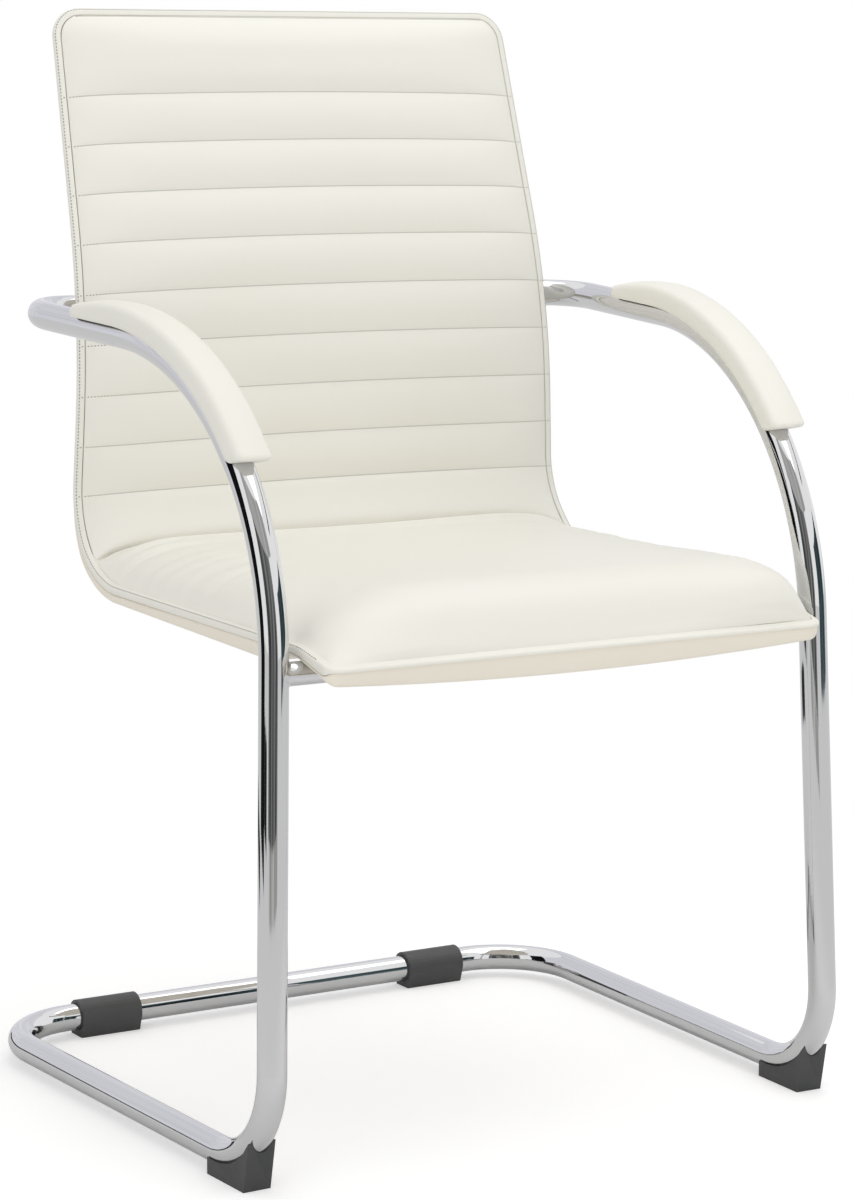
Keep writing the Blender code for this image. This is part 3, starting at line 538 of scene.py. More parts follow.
def loft_mesh(name, rings, closed=False):
    points = [tuple(point) for ring in rings for point in ring]
    return solid_mesh(name, points, loft_faces(len(rings), len(rings[0]), closed=closed))


def circle(sides):
    angles = [2 * math.pi * step / sides for step in range(sides)]
    return [(math.cos(angle), math.sin(angle)) for angle in angles]


def sweep(path, distances, radius):
    """Round rings along a path, without twist."""
    rings = []
    side = path.at(distances[0])[1].orthogonal().normalized()
    for distance in distances:
        point, direction = path.at(distance)
        side = (side - direction * side.dot(direction)).normalized()
        other = direction.cross(side)
        rings.append([point + (side * c + other * s) * radius for c, s in circle(TUBE_SIDES)])
    return rings


# Shell geometry

def shell_profile():
    knee_y = SEAT_FRONT_Y + KNEE_SETBACK
    bend_y = SEAT_FRONT_Y + SEAT_DEPTH
    lumbar_y = bend_y + LUMBAR_LEAN
    corners = [
        Vector((0, SEAT_FRONT_Y, SEAT_HEIGHT - SEAT_FRONT_DROP)),
        Vector((0, knee_y, SEAT_HEIGHT)),
        Vector((0, bend_y, SEAT_HEIGHT + SEAT_RISE)),
        Vector((0, lumbar_y, SEAT_HEIGHT + LUMBAR_RISE)),
        Vector((0, lumbar_y + BACK_LEAN, SEAT_HEIGHT + BACK_RISE)),
    ]
    return Path(corners, [KNEE_RADIUS, BEND_RADIUS, LUMBAR_RADIUS])


SHELL = shell_profile()
BEND_MIDDLE = sum(SHELL.arc_range(1)) / 2
FIRST_STITCH = SHELL.length - TOP_PANEL
LAST_STITCH = FIRST_STITCH - (RIB_COUNT - 1) * RIB_PITCH
CREASE = LAST_STITCH - LOWEST_RIB


def shell_frame(distance):
    """The edge line's point and the direction towards the sitter."""
    point, direction = SHELL.at(distance)
    return point, X_AXIS.cross(direction)


def shell_point(x, distance, depth):
    point, normal = shell_frame(distance)
    return point + X_AXIS * x + normal * depth


def full_half_width(distance):
    if distance < BEND_MIDDLE:
        return mix(SEAT_FRONT_HALF_WIDTH, BEND_HALF_WIDTH, distance / BEND_MIDDLE)
    share = (distance - BEND_MIDDLE) / (SHELL.length - BEND_MIDDLE)
    return mix(BEND_HALF_WIDTH, TOP_HALF_WIDTH, share)


def half_width(distance, inset):
    """The half width inside the outline, with its rounded corners, moved in by inset."""
    front = end_round(distance - inset, FRONT_CORNER_RADIUS - inset)
    top = end_round(SHELL.length - inset - distance, TOP_CORNER_RADIUS - inset)
    return full_half_width(distance) - inset - max(front, top)


def cover_thickness(distance):
    behind = distance - COVER_RAMP_START
    along_seat = between(behind / (SHELL.arc_range(1)[0] - COVER_RAMP_START))
    full = mix(COVER_SEAT_THICKNESS, COVER_BEND_THICKNESS, along_seat)
    full = mix(full, COVER_BACK_THICKNESS, between((distance - BEND_MIDDLE) / COVER_TAPER_LENGTH))
    return mix(COVER_FRONT_THICKNESS, full, between(behind / COVER_RAMP_LENGTH))


def up_back(distance):
    """0 on the seat, 1 on the back."""
    return smooth(distance, BEND_MIDDLE - 0.06, BEND_MIDDLE + 0.09)


def side_drop(distance):
    """How much lower the seam between the pad and the strip lies along the seat's sides."""
    return SEAT_SIDE_DROP * smooth(distance, *SIDE_DROP_START) * (1 - up_back(distance))


def rear_depth(distance):
    return CORE_THICKNESS + LAYER_GAP + cover_thickness(distance)


def corner_shares(radius):
    """Distances into a rounded corner, close together where it starts."""
    return [radius * (1 - math.cos(math.pi / 2 * step / 8)) for step in range(9)]


def sheet_rows(inset, extra, step):
    """Distances along the shell from its front to its top."""
    front = [inset + d for d in corner_shares(FRONT_CORNER_RADIUS - inset)]
    top = [SHELL.length - inset - d for d in corner_shares(TOP_CORNER_RADIUS - inset)]
    seat = inner_steps(front[-1], extra[0], round((extra[0] - front[-1]) / step))
    head = inner_steps(extra[-1], top[-1], round((top[-1] - extra[-1]) / step))
    return front + seat + list(extra) + head + top[::-1]


# Seat and back pad

RIB_SHARES = (0.0, 0.03, 0.09, 0.19, 0.33, 0.5, 0.67, 0.81, 0.91, 0.97)


def seam_distance(rib):
    """Where a seam lies along the shell, counted up from the crease, which is seam 0."""
    return LAST_STITCH + RIB_PITCH * (rib - 1) if rib else CREASE


def rib_number(distance):
    """How many ribs a place lies above the crease."""
    if distance > LAST_STITCH:
        return 1 + (distance - LAST_STITCH) / RIB_PITCH
    return (distance - CREASE) / (LOWEST_RIB if distance > CREASE else RIB_PITCH)


def rib_rows():
    rows = []
    for rib in range(RIB_COUNT):
        low = seam_distance(rib)
        high = seam_distance(rib + 1)
        rows += [mix(low, high, share) for share in RIB_SHARES]
    rows = [CREASE - RIB_PITCH * share for share in RIB_SHARES[4:0:-1]] + rows
    rows = sorted(rows + [CREASE + offset for offset in CREASE_ROWS])
    return rows + [FIRST_STITCH + RIB_PITCH * share for share in RIB_SHARES[:5]]


def pad_shares():
    """Shares of the half width, closer together towards the edges."""
    half = [1 - (1 - index / PAD_COLUMNS) ** 1.7 for index in range(PAD_COLUMNS + 1)]
    return [-share for share in half[:0:-1]] + half


def pad_crown(distance, share):
    """How far the pad swells: fuller at the right front corner, softer at the left one."""
    from_top = SHELL.length - PAD_INSET - distance
    from_front = distance - PAD_INSET
    into_front = between((from_front - CORNER_FADE * share ** 6) / FRONT_FADE)
    front_end = 1 - (1 - into_front) ** FRONT_END_POWER
    full_end = math.sqrt(1 - (1 - between(from_front / FULL_CORNER_FADE)) ** 2)
    full = smooth(share, *FULL_SHARES)
    front_end = mix(front_end, max(full_end, front_end), full)
    top_end = 1 - (1 - between(from_top / CROWN_FADE)) ** 3
    ends = min(front_end, top_end)
    seat_crown = mix(SEAT_FRONT_CROWN, SEAT_REAR_CROWN, between(distance / CREASE))
    crown = mix(seat_crown, BACK_CROWN, smooth((distance - CREASE) / RIB_PITCH, *BACK_START))
    rib = between(rib_number(distance), -0.5, RIB_COUNT + 0.5)
    valley = 1 - abs(math.sin(math.pi * rib)) ** 0.5
    crease = CREASE_DEPTH * math.exp(-((distance - CREASE) / CREASE_WIDTH) ** 2)
    steep = (full - SOFT_PART * smooth(-share, *SOFT_SHARES)) * (1 - smooth(distance, *FRONT_REACH))
    power = mix(CROWN_POWER, FULL_CROWN_POWER, steep)
    swell = (crown * ends - RIB_DEPTH * valley) * (1 - abs(share) ** power)
    return swell - crease * (1 - abs(share) ** CREASE_EDGE_POWER)


def pad_wrinkle(distance, share, half):
    """Soft gathers across the seat's rear: deep near the side seams, faint in the middle."""
    from_edge = (1 - abs(share)) * half
    behind = CREASE - distance
    along = smooth(behind, *WRINKLE_START) * (1 - smooth(behind, *WRINKLE_END))
    reach = smooth(from_edge, *WRINKLE_EDGE) * (1 - WRINKLE_FADE * smooth(from_edge, *WRINKLE_REACH))
    side = math.copysign(1, share)
    sway = 0.16 * math.sin(behind * 61.0 + 1.3 * side)
    phase = behind / WRINKLE_PITCH + sway + 2.2 * from_edge * side
    fold = (0.5 + 0.5 * math.cos(2 * math.pi * phase)) ** 3
    uneven = 0.75 + 0.25 * math.sin(2.3 * phase + 1.7 * side)
    return WRINKLE_HEIGHT * uneven * along * reach * (0.35 - fold)


def stitch_dip(distance, share):
    """How far a seam bends down towards its ends."""
    from_crease = between((distance - CREASE) / RIB_PITCH)
    from_top = between((SHELL.length - PAD_INSET - distance) / TOP_PANEL)
    dip = STITCH_DIP * from_crease * from_top * share ** 2
    near_crease = 1 - smooth(abs(distance - CREASE), 0.0, RIB_PITCH)
    return dip + SIDE_DIP * near_crease * abs(share) ** SIDE_DIP_POWER


def pad_surface(distance, share):
    """A point on the pad's face."""
    half = half_width(distance, PAD_INSET)
    groove = mix(SEAT_GROOVE, BACK_GROOVE, up_back(distance))
    tuck = groove * smooth(abs(share), 1 - GROOVE_WIDTH / half, 1.0)
    tuck += side_drop(distance) * smooth(abs(share), 1 - SIDE_DROP_WIDTH / half, 1.0)
    depth = PAD_EDGE - tuck + pad_crown(distance, share) + pad_wrinkle(distance, share, half)
    return shell_point(share * half, distance - stitch_dip(distance, share), depth)


def puff(piece, held):
    """Swells a closed piece with cloth pressure between the points that are held, by at most a cap."""
    scene = bpy.context.scene
    rest = np.empty(len(piece.data.vertices) * 3)
    piece.data.vertices.foreach_get("co", rest)
    group = piece.vertex_groups.new(name="held")
    group.add(held, 1.0, "REPLACE")
    cloth = piece.modifiers.new("cloth", "CLOTH")
    cloth.settings.quality = 6
    cloth.settings.mass = 0.3
    cloth.settings.use_pressure = True
    cloth.settings.uniform_pressure_force = PUFF_PRESSURE
    cloth.settings.vertex_group_mass = "held"
    cloth.settings.effector_weights.gravity = 0.0
    cloth.collision_settings.use_collision = False
    cloth.point_cache.frame_start = 1
    cloth.point_cache.frame_end = PUFF_FRAMES
    for step in range(1, PUFF_FRAMES + 1):
        scene.frame_set(step)
    swollen = piece.evaluated_get(bpy.context.evaluated_depsgraph_get()).data
    moved = np.empty_like(rest)
    swollen.vertices.foreach_get("co", moved)
    move = (moved - rest).reshape(-1, 3)
    length = np.linalg.norm(move, axis=1, keepdims=True)
    move *= np.minimum(1.0, PUFF_CAP / np.maximum(length, 1e-9))
    piece.modifiers.remove(cloth)
    piece.vertex_groups.remove(group)
    piece.data.vertices.foreach_set("co", rest + move.ravel())
    piece.data.update()
    scene.frame_set(1)


def add_seat_back_pad(material):
    shares = pad_shares()
    count = len(shares)
    rows = sheet_rows(PAD_INSET, rib_rows(), PAD_ROW_STEP)
    rings = []
    held = []
    for row, distance in enumerate(rows):
        ring = [pad_surface(distance, share) for share in shares]
        half = half_width(distance, PAD_INSET)
        sole = distance - stitch_dip(distance, 1.0)
        ring += [shell_point(share * half, sole, LAYER_GAP) for share in (1.0, 0.5, 0.0, -0.5, -1.0)]
        on_seam = abs(rib_number(distance) - round(rib_number(distance))) < 1e-6
        stitched = on_seam and distance > CREASE - 1e-6
        whole = stitched or row < 2 or row > len(rows) - 3
        start = row * len(ring)
        for column in range(len(ring)):
            if whole or column == 0 or column >= count - 1:
                held.append(start + column)
        rings.append(ring)
    mesh = loft_mesh("seat_back_pad", rings)
    pad = add_object("seat_back_pad", mesh, material, ["front_pad"], 60.0)
    puff(pad, held)
    finer = pad.modifiers.new("subdivide", "SUBSURF")
    finer.levels = finer.render_levels = 1
    return pad


# Sewn edge

def end_places(half, radius, end, inward):
    """Points along an end of the shell from its middle, and round the corner to its side."""
    width = half - radius
    count = round(width / EDGE_STEP)
    places = [(width * index / count, end, 0.0, -inward) for index in range(count)]
    for index in range(CORNER_STEPS):
        angle = math.pi / 2 * index / CORNER_STEPS
        distance = end + inward * radius * (1 - math.cos(angle))
        x = full_half_width(distance) - radius * (1 - math.sin(angle))
        places.append((x, distance, math.sin(angle), -inward * math.cos(angle)))
    return places


def edge_loop():
    """Points round the shell's outline: x, distance along the shell, and the way out of the outline."""
    half = end_places(SEAT_FRONT_HALF_WIDTH, FRONT_CORNER_RADIUS, 0.0, 1.0)
    first, last = FRONT_CORNER_RADIUS, SHELL.length - TOP_CORNER_RADIUS
    count = round((last - first) / EDGE_STEP)
    for index in range(count + 1):
        distance = first + (last - first) * index / count
        half.append((full_half_width(distance), distance, 1.0, 0.0))
    half += end_places(TOP_HALF_WIDTH, TOP_CORNER_RADIUS, SHELL.length, -1.0)[::-1]
    left = [(-x, distance, -out_x, out_s) for x, distance, out_x, out_s in half[-2:0:-1]]
    return half + left


def edge_point(place, inset, depth):
    x, distance, out_x, out_s = place
    return shell_point(x - out_x * inset, distance - out_s * inset, depth)


def band_low(place):
    """The depth of the side band's lower edge: deeper in the middle of the seat's front."""
    x, distance, _, _ = place
    across = between(abs(x) / (SEAT_FRONT_HALF_WIDTH - FRONT_CORNER_RADIUS))
    front = mix(FASCIA_DEPTH, FASCIA_CORNER_DEPTH, across ** 2)
    return -mix(front, rear_depth(distance), between(distance / FRONT_CORNER_RADIUS))


def strip_low(distance):
    """The depth of the strip's lower edge: level with the shell at the front, lower along the sides."""
    return STRIP_LOW * smooth(distance, 0.0, FRONT_CORNER_RADIUS)


def strip_section(place):
    """The pale strip's section, as insets from the outline and depths."""
    back = up_back(place[1])
    low = strip_low(place[1])
    drop = side_drop(place[1])
    tuck = 0.0004 + 0.0030 * back
    section = [(0.0044, low), (tuck + 0.0006, low), (tuck, low + 0.0004)]
    for share, pull in ((0.35, 0.42), (0.7, 0.10), (1.0, 0.0)):
        section.append((tuck * pull, mix(low, 0.0008 - drop, share)))
    rim = mix(STRIP_RIM, STRIP_BACK_RIM, back)
    middle = (0.0036 + rim) / 2 + 0.0004 * back
    crest = [(0.0002, 0.0018), (0.0007, 0.0027), (0.0014, 0.0032), (0.0024, 0.0035), (0.0036, 0.0036)]
    crest += [(0.0050, middle), (0.0061, (middle + rim) / 2 + 0.0003), (0.0067, rim)]
    crest.append((0.0069, rim - 0.0004))
    section += [(inset, depth - drop) for inset, depth in crest]
    return section + [(0.0069, 0.0004), (0.0050, 0.0004)]


def band_section(place):
    """The beige band's section, with a tongue behind the strip."""
    back = up_back(place[1])
    high = strip_low(place[1]) - 0.0003
    low = min(band_low(place), high - 0.0010)
    shift = 0.0032 * back
    tongue = min(high + 0.0016, 0.0)
    section = [(0.0068, tongue), (0.0052, tongue), (0.0048, high), (0.0030 + 0.4 * shift, high)]
    section.append((0.0016 + shift, high - 0.0002))
    for share in (0.15, 0.35, 0.55, 0.75):
        section.append((0.0006 + shift + 0.0020 * back * share ** 2, mix(high, low, share)))
    section.append((0.0010 + shift + 0.0016 * back, mix(low, high, 0.1)))
    return section + [(0.0020 + shift + 0.0012 * back, low), (0.0034 + shift, low), (0.0068, low)]


def add_border(name, loop, section_at, material):
    """A sewn border with its section at each place of the outline."""
    rings = []
    for place in loop:
        rings.append([edge_point(place, inset, depth) for inset, depth in section_at(place)])
    border = add_object(name, loft_mesh(name, rings, True), material, ["edge_band"])
    return border


def add_rear_cover(material):
    """The soft rear and underside, slightly crowned inside its border."""
    shares = [-share for share in (1.0, 0.995, 0.985, 0.96, 0.9, 0.75, 0.5, 0.25)]
    shares = shares + [0.0] + [-share for share in shares[::-1]]
    rows = sheet_rows(PAD_INSET, [CREASE], COVER_ROW_STEP)
    rings = []
    for distance in rows:
        half = half_width(distance, PAD_INSET)
        front = -CORE_THICKNESS - LAYER_GAP
        ring = [shell_point(half * share, distance, front) for share in (-1.0, -0.5, 0.0, 0.5, 1.0)]
        end_gap = min(distance, SHELL.length - distance) - PAD_INSET
        for share in shares[::-1]:
            edge = min((1 - abs(share)) * half, end_gap)
            tuck = COVER_TUCK * (1 - smooth(edge, 0.0, COVER_TUCK_WIDTH))
            ring.append(shell_point(half * share, distance, -rear_depth(distance) + tuck))
        rings.append(ring)
    cover = add_object("rear_upholstery", loft_mesh("rear_upholstery", rings), material,
                       ["rear_cover"], 60.0)


# Stitches

def stitch_rings(start, end, normal):
    """A short thread that rises out of the upholstery and goes back into it."""
    along = end - start
    side = along.cross(normal).normalized()
    rings = []
    for share, lift, radius in ((0.0, -0.5, 0.6), (0.5, 0.45, 1.0), (1.0, -0.5, 0.6)):
        centre = start + along * share + normal * (lift * STITCH_RADIUS)
        reach = STITCH_RADIUS * radius
        rings.append([centre + (side * c + normal * s) * reach for c, s in circle(STITCH_SIDES)])
    return rings


def even_stitches(seam):
    """Start, end and normal of evenly spaced stitches along points with normals."""
    spots = np.array([point for point, _ in seam])
    normals = np.array([normal for _, normal in seam])
    run = np.concatenate([[0.0], np.cumsum(np.linalg.norm(np.diff(spots, axis=0), axis=1))])

    def at(table, distance):
        return Vector([np.interp(distance, run, table[:, axis]) for axis in range(3)])

    count = int(run[-1] / STITCH_PITCH)
    for index in range(count):
        first = (index + 0.5) * run[-1] / count - STITCH_LENGTH / 2
        normal = at(normals, first + STITCH_LENGTH / 2).normalized()
        yield at(spots, first), at(spots, first + STITCH_LENGTH), normal


def add_stitches(name, seams, material):
    """One piece of all the stitches along lists of points with normals."""
    points = []
    faces = []
    for seam in seams:
        for stitch in even_stitches(seam):
            rings = stitch_rings(*stitch)
            faces += loft_faces(len(rings), STITCH_SIDES, len(points))
            points += [tuple(point) for ring in rings for point in ring]
    add_object(name, solid_mesh(name, points, faces), material)


def laid_on(piece, points):
    """The points moved along their normals on to a piece's finished surface."""
    surface = BVHTree.FromObject(piece, bpy.context.evaluated_depsgraph_get())
    laid = []
    for point, normal in points:
        hit = surface.ray_cast(point + normal * STITCH_SEARCH, -normal, 2 * STITCH_SEARCH)[0]
        laid.append((hit or point, normal))
    return laid


def quilt_seams(pad, strip):
    """The stitch lines across the back, with a short length over the edge strip at each end."""
    seams = []
    for rib in range(1, RIB_COUNT + 1):
        distance = seam_distance(rib)
        half = half_width(distance, PAD_INSET)
        inner = 1 - SEAM_END / half
        shares = [(2 * step / SEAM_STEPS - 1) * inner for step in range(SEAM_STEPS + 1)]
        normal = shell_frame(distance)[1]
        seams.append(laid_on(pad, [(pad_surface(distance, share), normal) for share in shares]))
        low = distance - stitch_dip(distance, 1.0)
        outer = full_half_width(distance)
        for sign in (-1, 1):
            spots = [shell_point(sign * (outer - inset), low, TICK_DEPTH) for inset in TICK_INSETS]
            seams.append(laid_on(strip, [(spot, normal) for spot in spots]))
    return seams


def rim_seam(piece, places, inset):
    """Stitches on a piece, at an inset from places on the outline."""
    spots = [(edge_point(place, inset, STITCH_DEPTH), shell_frame(place[1])[1]) for place in places]
    return laid_on(piece, spots)


def border_seams(loop, strip, pad):
    """Stitches near the strip's rim round the sides and top, and between strip and pad along the top."""
    sides = [place for place in loop if place[1] > FRONT_CORNER_RADIUS + STRIP_STITCH_START]
    top = [place for place in loop if place[3] > 0.95]
    return [rim_seam(strip, sides, STRIP_STITCH_INSET), rim_seam(pad, top, PAD_INSET + TOP_STITCH_INSET)]


# Frame

def back_bar_middle():
    distance = SHELL.find(2, SEAT_HEIGHT + BACK_BAR_RISE, BEND_MIDDLE, SHELL.length)
    stand_off = SPACER_LENGTH + 2 * CLEARANCE + TUBE_RADIUS
    return shell_point(0, distance, -rear_depth(distance) - stand_off)


def frame_path(sign):
    leg_x = SEAT_FRONT_HALF_WIDTH + LEG_SEAT_GAP + TUBE_RADIUS
    arm_z = SEAT_HEIGHT + ARM_RISE
    front_x = leg_x + LEG_SPLAY * (SEAT_HEIGHT - RAIL_Z)
    bow_x = leg_x - LEG_SPLAY * ARM_RISE
    bow_y = FRAME_FRONT_Y + LEG_LEAN * (arm_z - RAIL_Z)
    bar = back_bar_middle()
    corners = [
        Vector((0, FRAME_REAR_Y, RAIL_Z)),
        Vector((sign * (front_x + RAIL_TOE_OUT), FRAME_REAR_Y, RAIL_Z)),
        Vector((sign * front_x, FRAME_FRONT_Y, RAIL_Z)),
        Vector((sign * bow_x, bow_y, arm_z)),
        Vector((sign * (bow_x + ARM_FLARE), bar.y, bar.z + BACK_BAR_SAG)),
        bar,
    ]
    return Path(corners, [REAR_CORNER_RADIUS, FRONT_BEND_RADIUS, BOW_RADIUS, ARM_CORNER_RADIUS])


FRAME = {label: frame_path(sign) for label, sign in SIDES}


def add_tube(name, node, path, first, last, material):
    """An open ended tube with a wall, which stands for a CAD node."""
    distances = path.stations(first, last)
    outer = sweep(path, distances, TUBE_RADIUS)
    inner = sweep(path, distances, TUBE_RADIUS - TUBE_WALL)
    add_object(name, loft_mesh(name, outer + inner[::-1], closed=True), material, [node])


def add_frame(material):
    gap = CLEARANCE / 2
    glide_x = FRAME["right"].arc_range(0)[0] - GLIDE_BEND_GAP - GLIDE_LENGTH / 2
    joints = []
    for label, path in FRAME.items():
        joint = path.arc_range(3)[1] + BACK_JOINT_GAP
        joints.append(path.at(joint)[0])
        add_tube("frame_tube_" + label, "side_tube_" + label, path, glide_x + gap, joint - gap, material)
    end = glide_x - gap
    floor = Path([Vector((x, FRAME_REAR_Y, RAIL_Z)) for x in (-end, end)], [])
    add_tube("floor_tube", "rear_floor_bar", floor, 0.0, floor.length, material)
    back = Path([joints[0], back_bar_middle(), joints[1]], [BACK_BAR_BEND_RADIUS])
    add_tube("back_tube", "back_cross_bar", back, gap, back.length - gap, material)


def add_seat_tube(material):
    """The thin bar between the legs, cut to fit round them and welded with a small fillet."""
    low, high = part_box("seat_cross_bar")
    middle = (low + high) / 2

    def leg_reach(sign, offset_y, offset_z):
        """How far out from the middle the skin of the leg stands at one line along the bar."""
        path = FRAME["right" if sign > 0 else "left"]
        near = path.find(2, middle.z + offset_z, path.arc_range(1)[1], path.arc_range(2)[1])
        centre, direction = path.at(near)
        side = (middle.y + offset_y - centre.y) / math.sqrt(1 - direction.y ** 2)
        inward = math.sqrt(max(TUBE_RADIUS ** 2 - side ** 2, 0.0)) / math.sqrt(1 - direction.x ** 2)
        return abs(centre.x) - inward

    def ring(radius, sign, back_off):
        points = []
        for c, s in circle(TUBE_SIDES):
            reach = leg_reach(sign, c * radius, s * radius) - back_off
            points.append(middle + Vector((sign * reach, c * radius, s * radius)))
        return points

    def end_rings(sign):
        rings = []
        for degrees in (15, 40, 65, 90):
            grow = WELD * (1 - math.sin(math.radians(degrees)))
            back_off = WELD * (1 - math.cos(math.radians(degrees)))
            rings.append(ring(SEAT_BAR_RADIUS + grow, sign, back_off))
        return rings

    middle_rings = [ring(SEAT_BAR_RADIUS, sign, WELD_REACH) for sign in (-1, 1)]
    outer = end_rings(-1) + middle_rings + end_rings(1)[::-1]
    inner = [ring(SEAT_BAR_RADIUS - SEAT_BAR_WALL, sign, 0.0) for sign in (1, -1)]
    mesh = loft_mesh("seat_tube", outer + inner, closed=True)
    add_object("seat_tube", mesh, material, ["seat_cross_bar"])


# Arm pads

class ArmPad:
    """Placing on one arm: across the tube, out from it, and along its bow."""

    def __init__(self, label):
        self.path = FRAME[label]
        bow_first, bow_last = self.path.arc_range(2)
        self.first = bow_last - math.radians(PAD_BOW_DEGREES) * BOW_RADIUS
        self.last = bow_last + PAD_REAR_LENGTH
        leg, arm = self.path.at(bow_first)[1], self.path.at(bow_last)[1]
        self.across = arm.cross(leg).normalized()

    def point(self, distance, x, height):
        centre, direction = self.path.at(distance)
        return centre + self.across * x + self.across.cross(direction) * height

    def raked(self, distance, x, height):
        """A point of the skin, which leans forward with the height towards the front end."""
        share = between(1 - (distance - self.first) / PAD_RAKE_LENGTH)
        lean = -self.path.at(self.first)[1] * PAD_RAKE * share
        return self.point(distance, x, height) + lean * (height - PAD_SKIRT)

    def skin(self, distance):
        """The outside of the pad: walls, rounded shoulders, a crowned top and drawn-in ends."""
        share = between((distance - self.last) / PAD_TAPER_LENGTH + 1)
        cushion = mix(PAD_CUSHION, PAD_REAR_CUSHION, share ** 2)
        end_gap = min(distance - self.first, self.last - distance)
        draw_in = end_round(end_gap, PAD_END_ROUND)
        half = PAD_HALF - draw_in
        drop = end_round(self.last - distance, PAD_REAR_NOSE)
        drop += end_round(distance - self.first, PAD_FRONT_NOSE)
        top = PAD_BASE_TOP + CLEARANCE + cushion - drop
        shoulder = min(PAD_SHOULDER, (top - PAD_SKIRT) * 0.5)
        spring = top - PAD_TOP_CROWN - shoulder
        lip = PAD_SKIRT + PAD_LIP
        outer = [(half - PAD_LIP, PAD_SKIRT), (half - 0.0001, lip)]
        for part in (0.35, 0.7):
            outer.append((half + PAD_WALL_SWELL * math.sin(math.pi * part), mix(lip, spring, part)))
        flat = half - shoulder
        for degrees in range(0, 91, 15):
            angle = math.radians(degrees)
            outer.append((flat + shoulder * math.cos(angle), spring + shoulder * math.sin(angle)))
        outer += [(flat * part, top - PAD_TOP_CROWN * part ** 2) for part in (0.75, 0.5, 0.25)]
        left = [(-x, height) for x, height in outer]
        return left + [(0.0, top)] + outer[::-1]

    def cavity(self, distance):
        """The inside: a box round the base, and only the tube's shape in the end faces."""
        if min(distance - self.first, self.last - distance) < PAD_BASE_INSET * 0.8:
            radius = TUBE_RADIUS + CLEARANCE
            low = math.asin(PAD_SKIRT / radius)
            angles = [low + (math.pi - 2 * low) * step / 7 for step in range(8)]
            return [(radius * math.cos(angle), radius * math.sin(angle)) for angle in angles]
        inner, roof = PAD_BASE_HALF + CLEARANCE, PAD_BASE_TOP + CLEARANCE
        wall = [PAD_SKIRT, PAD_SKIRT + (roof - PAD_SKIRT) * 0.5, roof - 0.0001]
        ceiling = [(inner * 0.4, roof), (-inner * 0.4, roof)]
        return [(inner, height) for height in wall] + ceiling + [(-inner, height) for height in wall[::-1]]

    def ring(self, distance):
        place = self.raked if distance - self.first < PAD_BASE_INSET * 0.8 else self.point
        outside = [self.raked(distance, x, height) for x, height in self.skin(distance)]
        return outside + [place(distance, x, height) for x, height in self.cavity(distance)]

    def rows(self):
        ends = [0.0, 0.0002, 0.0005, 0.0010, 0.0016, 0.0024, 0.0034, 0.0048, 0.0070]
        middle = inner_steps(self.first + ends[-1], self.last - ends[-1], PAD_ROWS)
        return [self.first + d for d in ends] + middle + [self.last - d for d in ends[::-1]]


def add_arm_pad(label, material):
    pad = ArmPad(label)
    name = "arm_cushion_" + label
    mesh = loft_mesh(name, [pad.ring(distance) for distance in pad.rows()])
    piece = add_object(name, mesh, material, ["arm_pad_" + label])


# Small parts

def soften(node, width):
    """Rounds the edges of a CAD node as it is shown."""
    modifier = NODES[node].modifiers.new("soft_edges", "BEVEL")
    modifier.width = width
    modifier.segments = 2
    modifier.limit_method = "ANGLE"
    modifier.angle_limit = math.radians(SHARP_ANGLE)
    modifier.harden_normals = False


def dress(node, material):
    mesh = NODES[node].data
    mesh.materials.clear()
    mesh.materials.append(material)
    mesh.shade_smooth()
    mesh.set_sharp_from_angle(angle=math.radians(SHARP_ANGLE))


def add_fastener(node, material):
    """A headed bolt or screw with a rounded head and a six-sided recess, along its CAD node's own axis."""
    spots = np.array([vertex.co for vertex in NODES[node].data.vertices])
    middle = (spots.min(0) + spots.max(0)) / 2
    axis = np.linalg.svd(spots - spots.mean(0))[2][0]
    along = (spots - middle) @ axis
    away = np.linalg.norm((spots - middle) - np.outer(along, axis), axis=1)
    if along[away > away.max() * 0.98].mean() < 0:
        axis, along = -axis, -along
    head = away.max()
    shank = away[along < along.min() + 1e-4].max()
    seat = along[away > head * 0.98].min()
    tip, end = along.min(), along.max()
    height = end - seat
    profile = [(shank * 0.8, tip), (shank, tip + shank * 0.3), (shank, seat), (head * 0.97, seat)]
    for width, rise in ((1.0, 0.12), (1.0, 0.35), (0.93, 0.66), (0.80, 0.87), (0.66, 1.0)):
        profile.append((head * width, seat + height * rise))
    centre, way = Vector(middle), Vector(axis)
    side = way.orthogonal().normalized()
    other = way.cross(side)
    spokes = [side * c + other * s for c, s in circle(HEAD_SIDES)]
    rings = [[centre + way * reach + spoke * radius for spoke in spokes] for radius, reach in profile]
    sixth = math.pi / 3
    turns = [2 * math.pi * step / HEAD_SIDES % sixth - sixth / 2 for step in range(HEAD_SIDES)]
    recess = [head * SOCKET_SHARE * math.cos(sixth / 2) / math.cos(turn) for turn in turns]
    for reach in (end, end - height * 0.5):
        rings.append([centre + way * reach + spoke * radius for spoke, radius in zip(spokes, recess)])
    name = "headed_" + node
    add_object(name, loft_mesh(name, rings), material, [node], 30.0)


# Stage

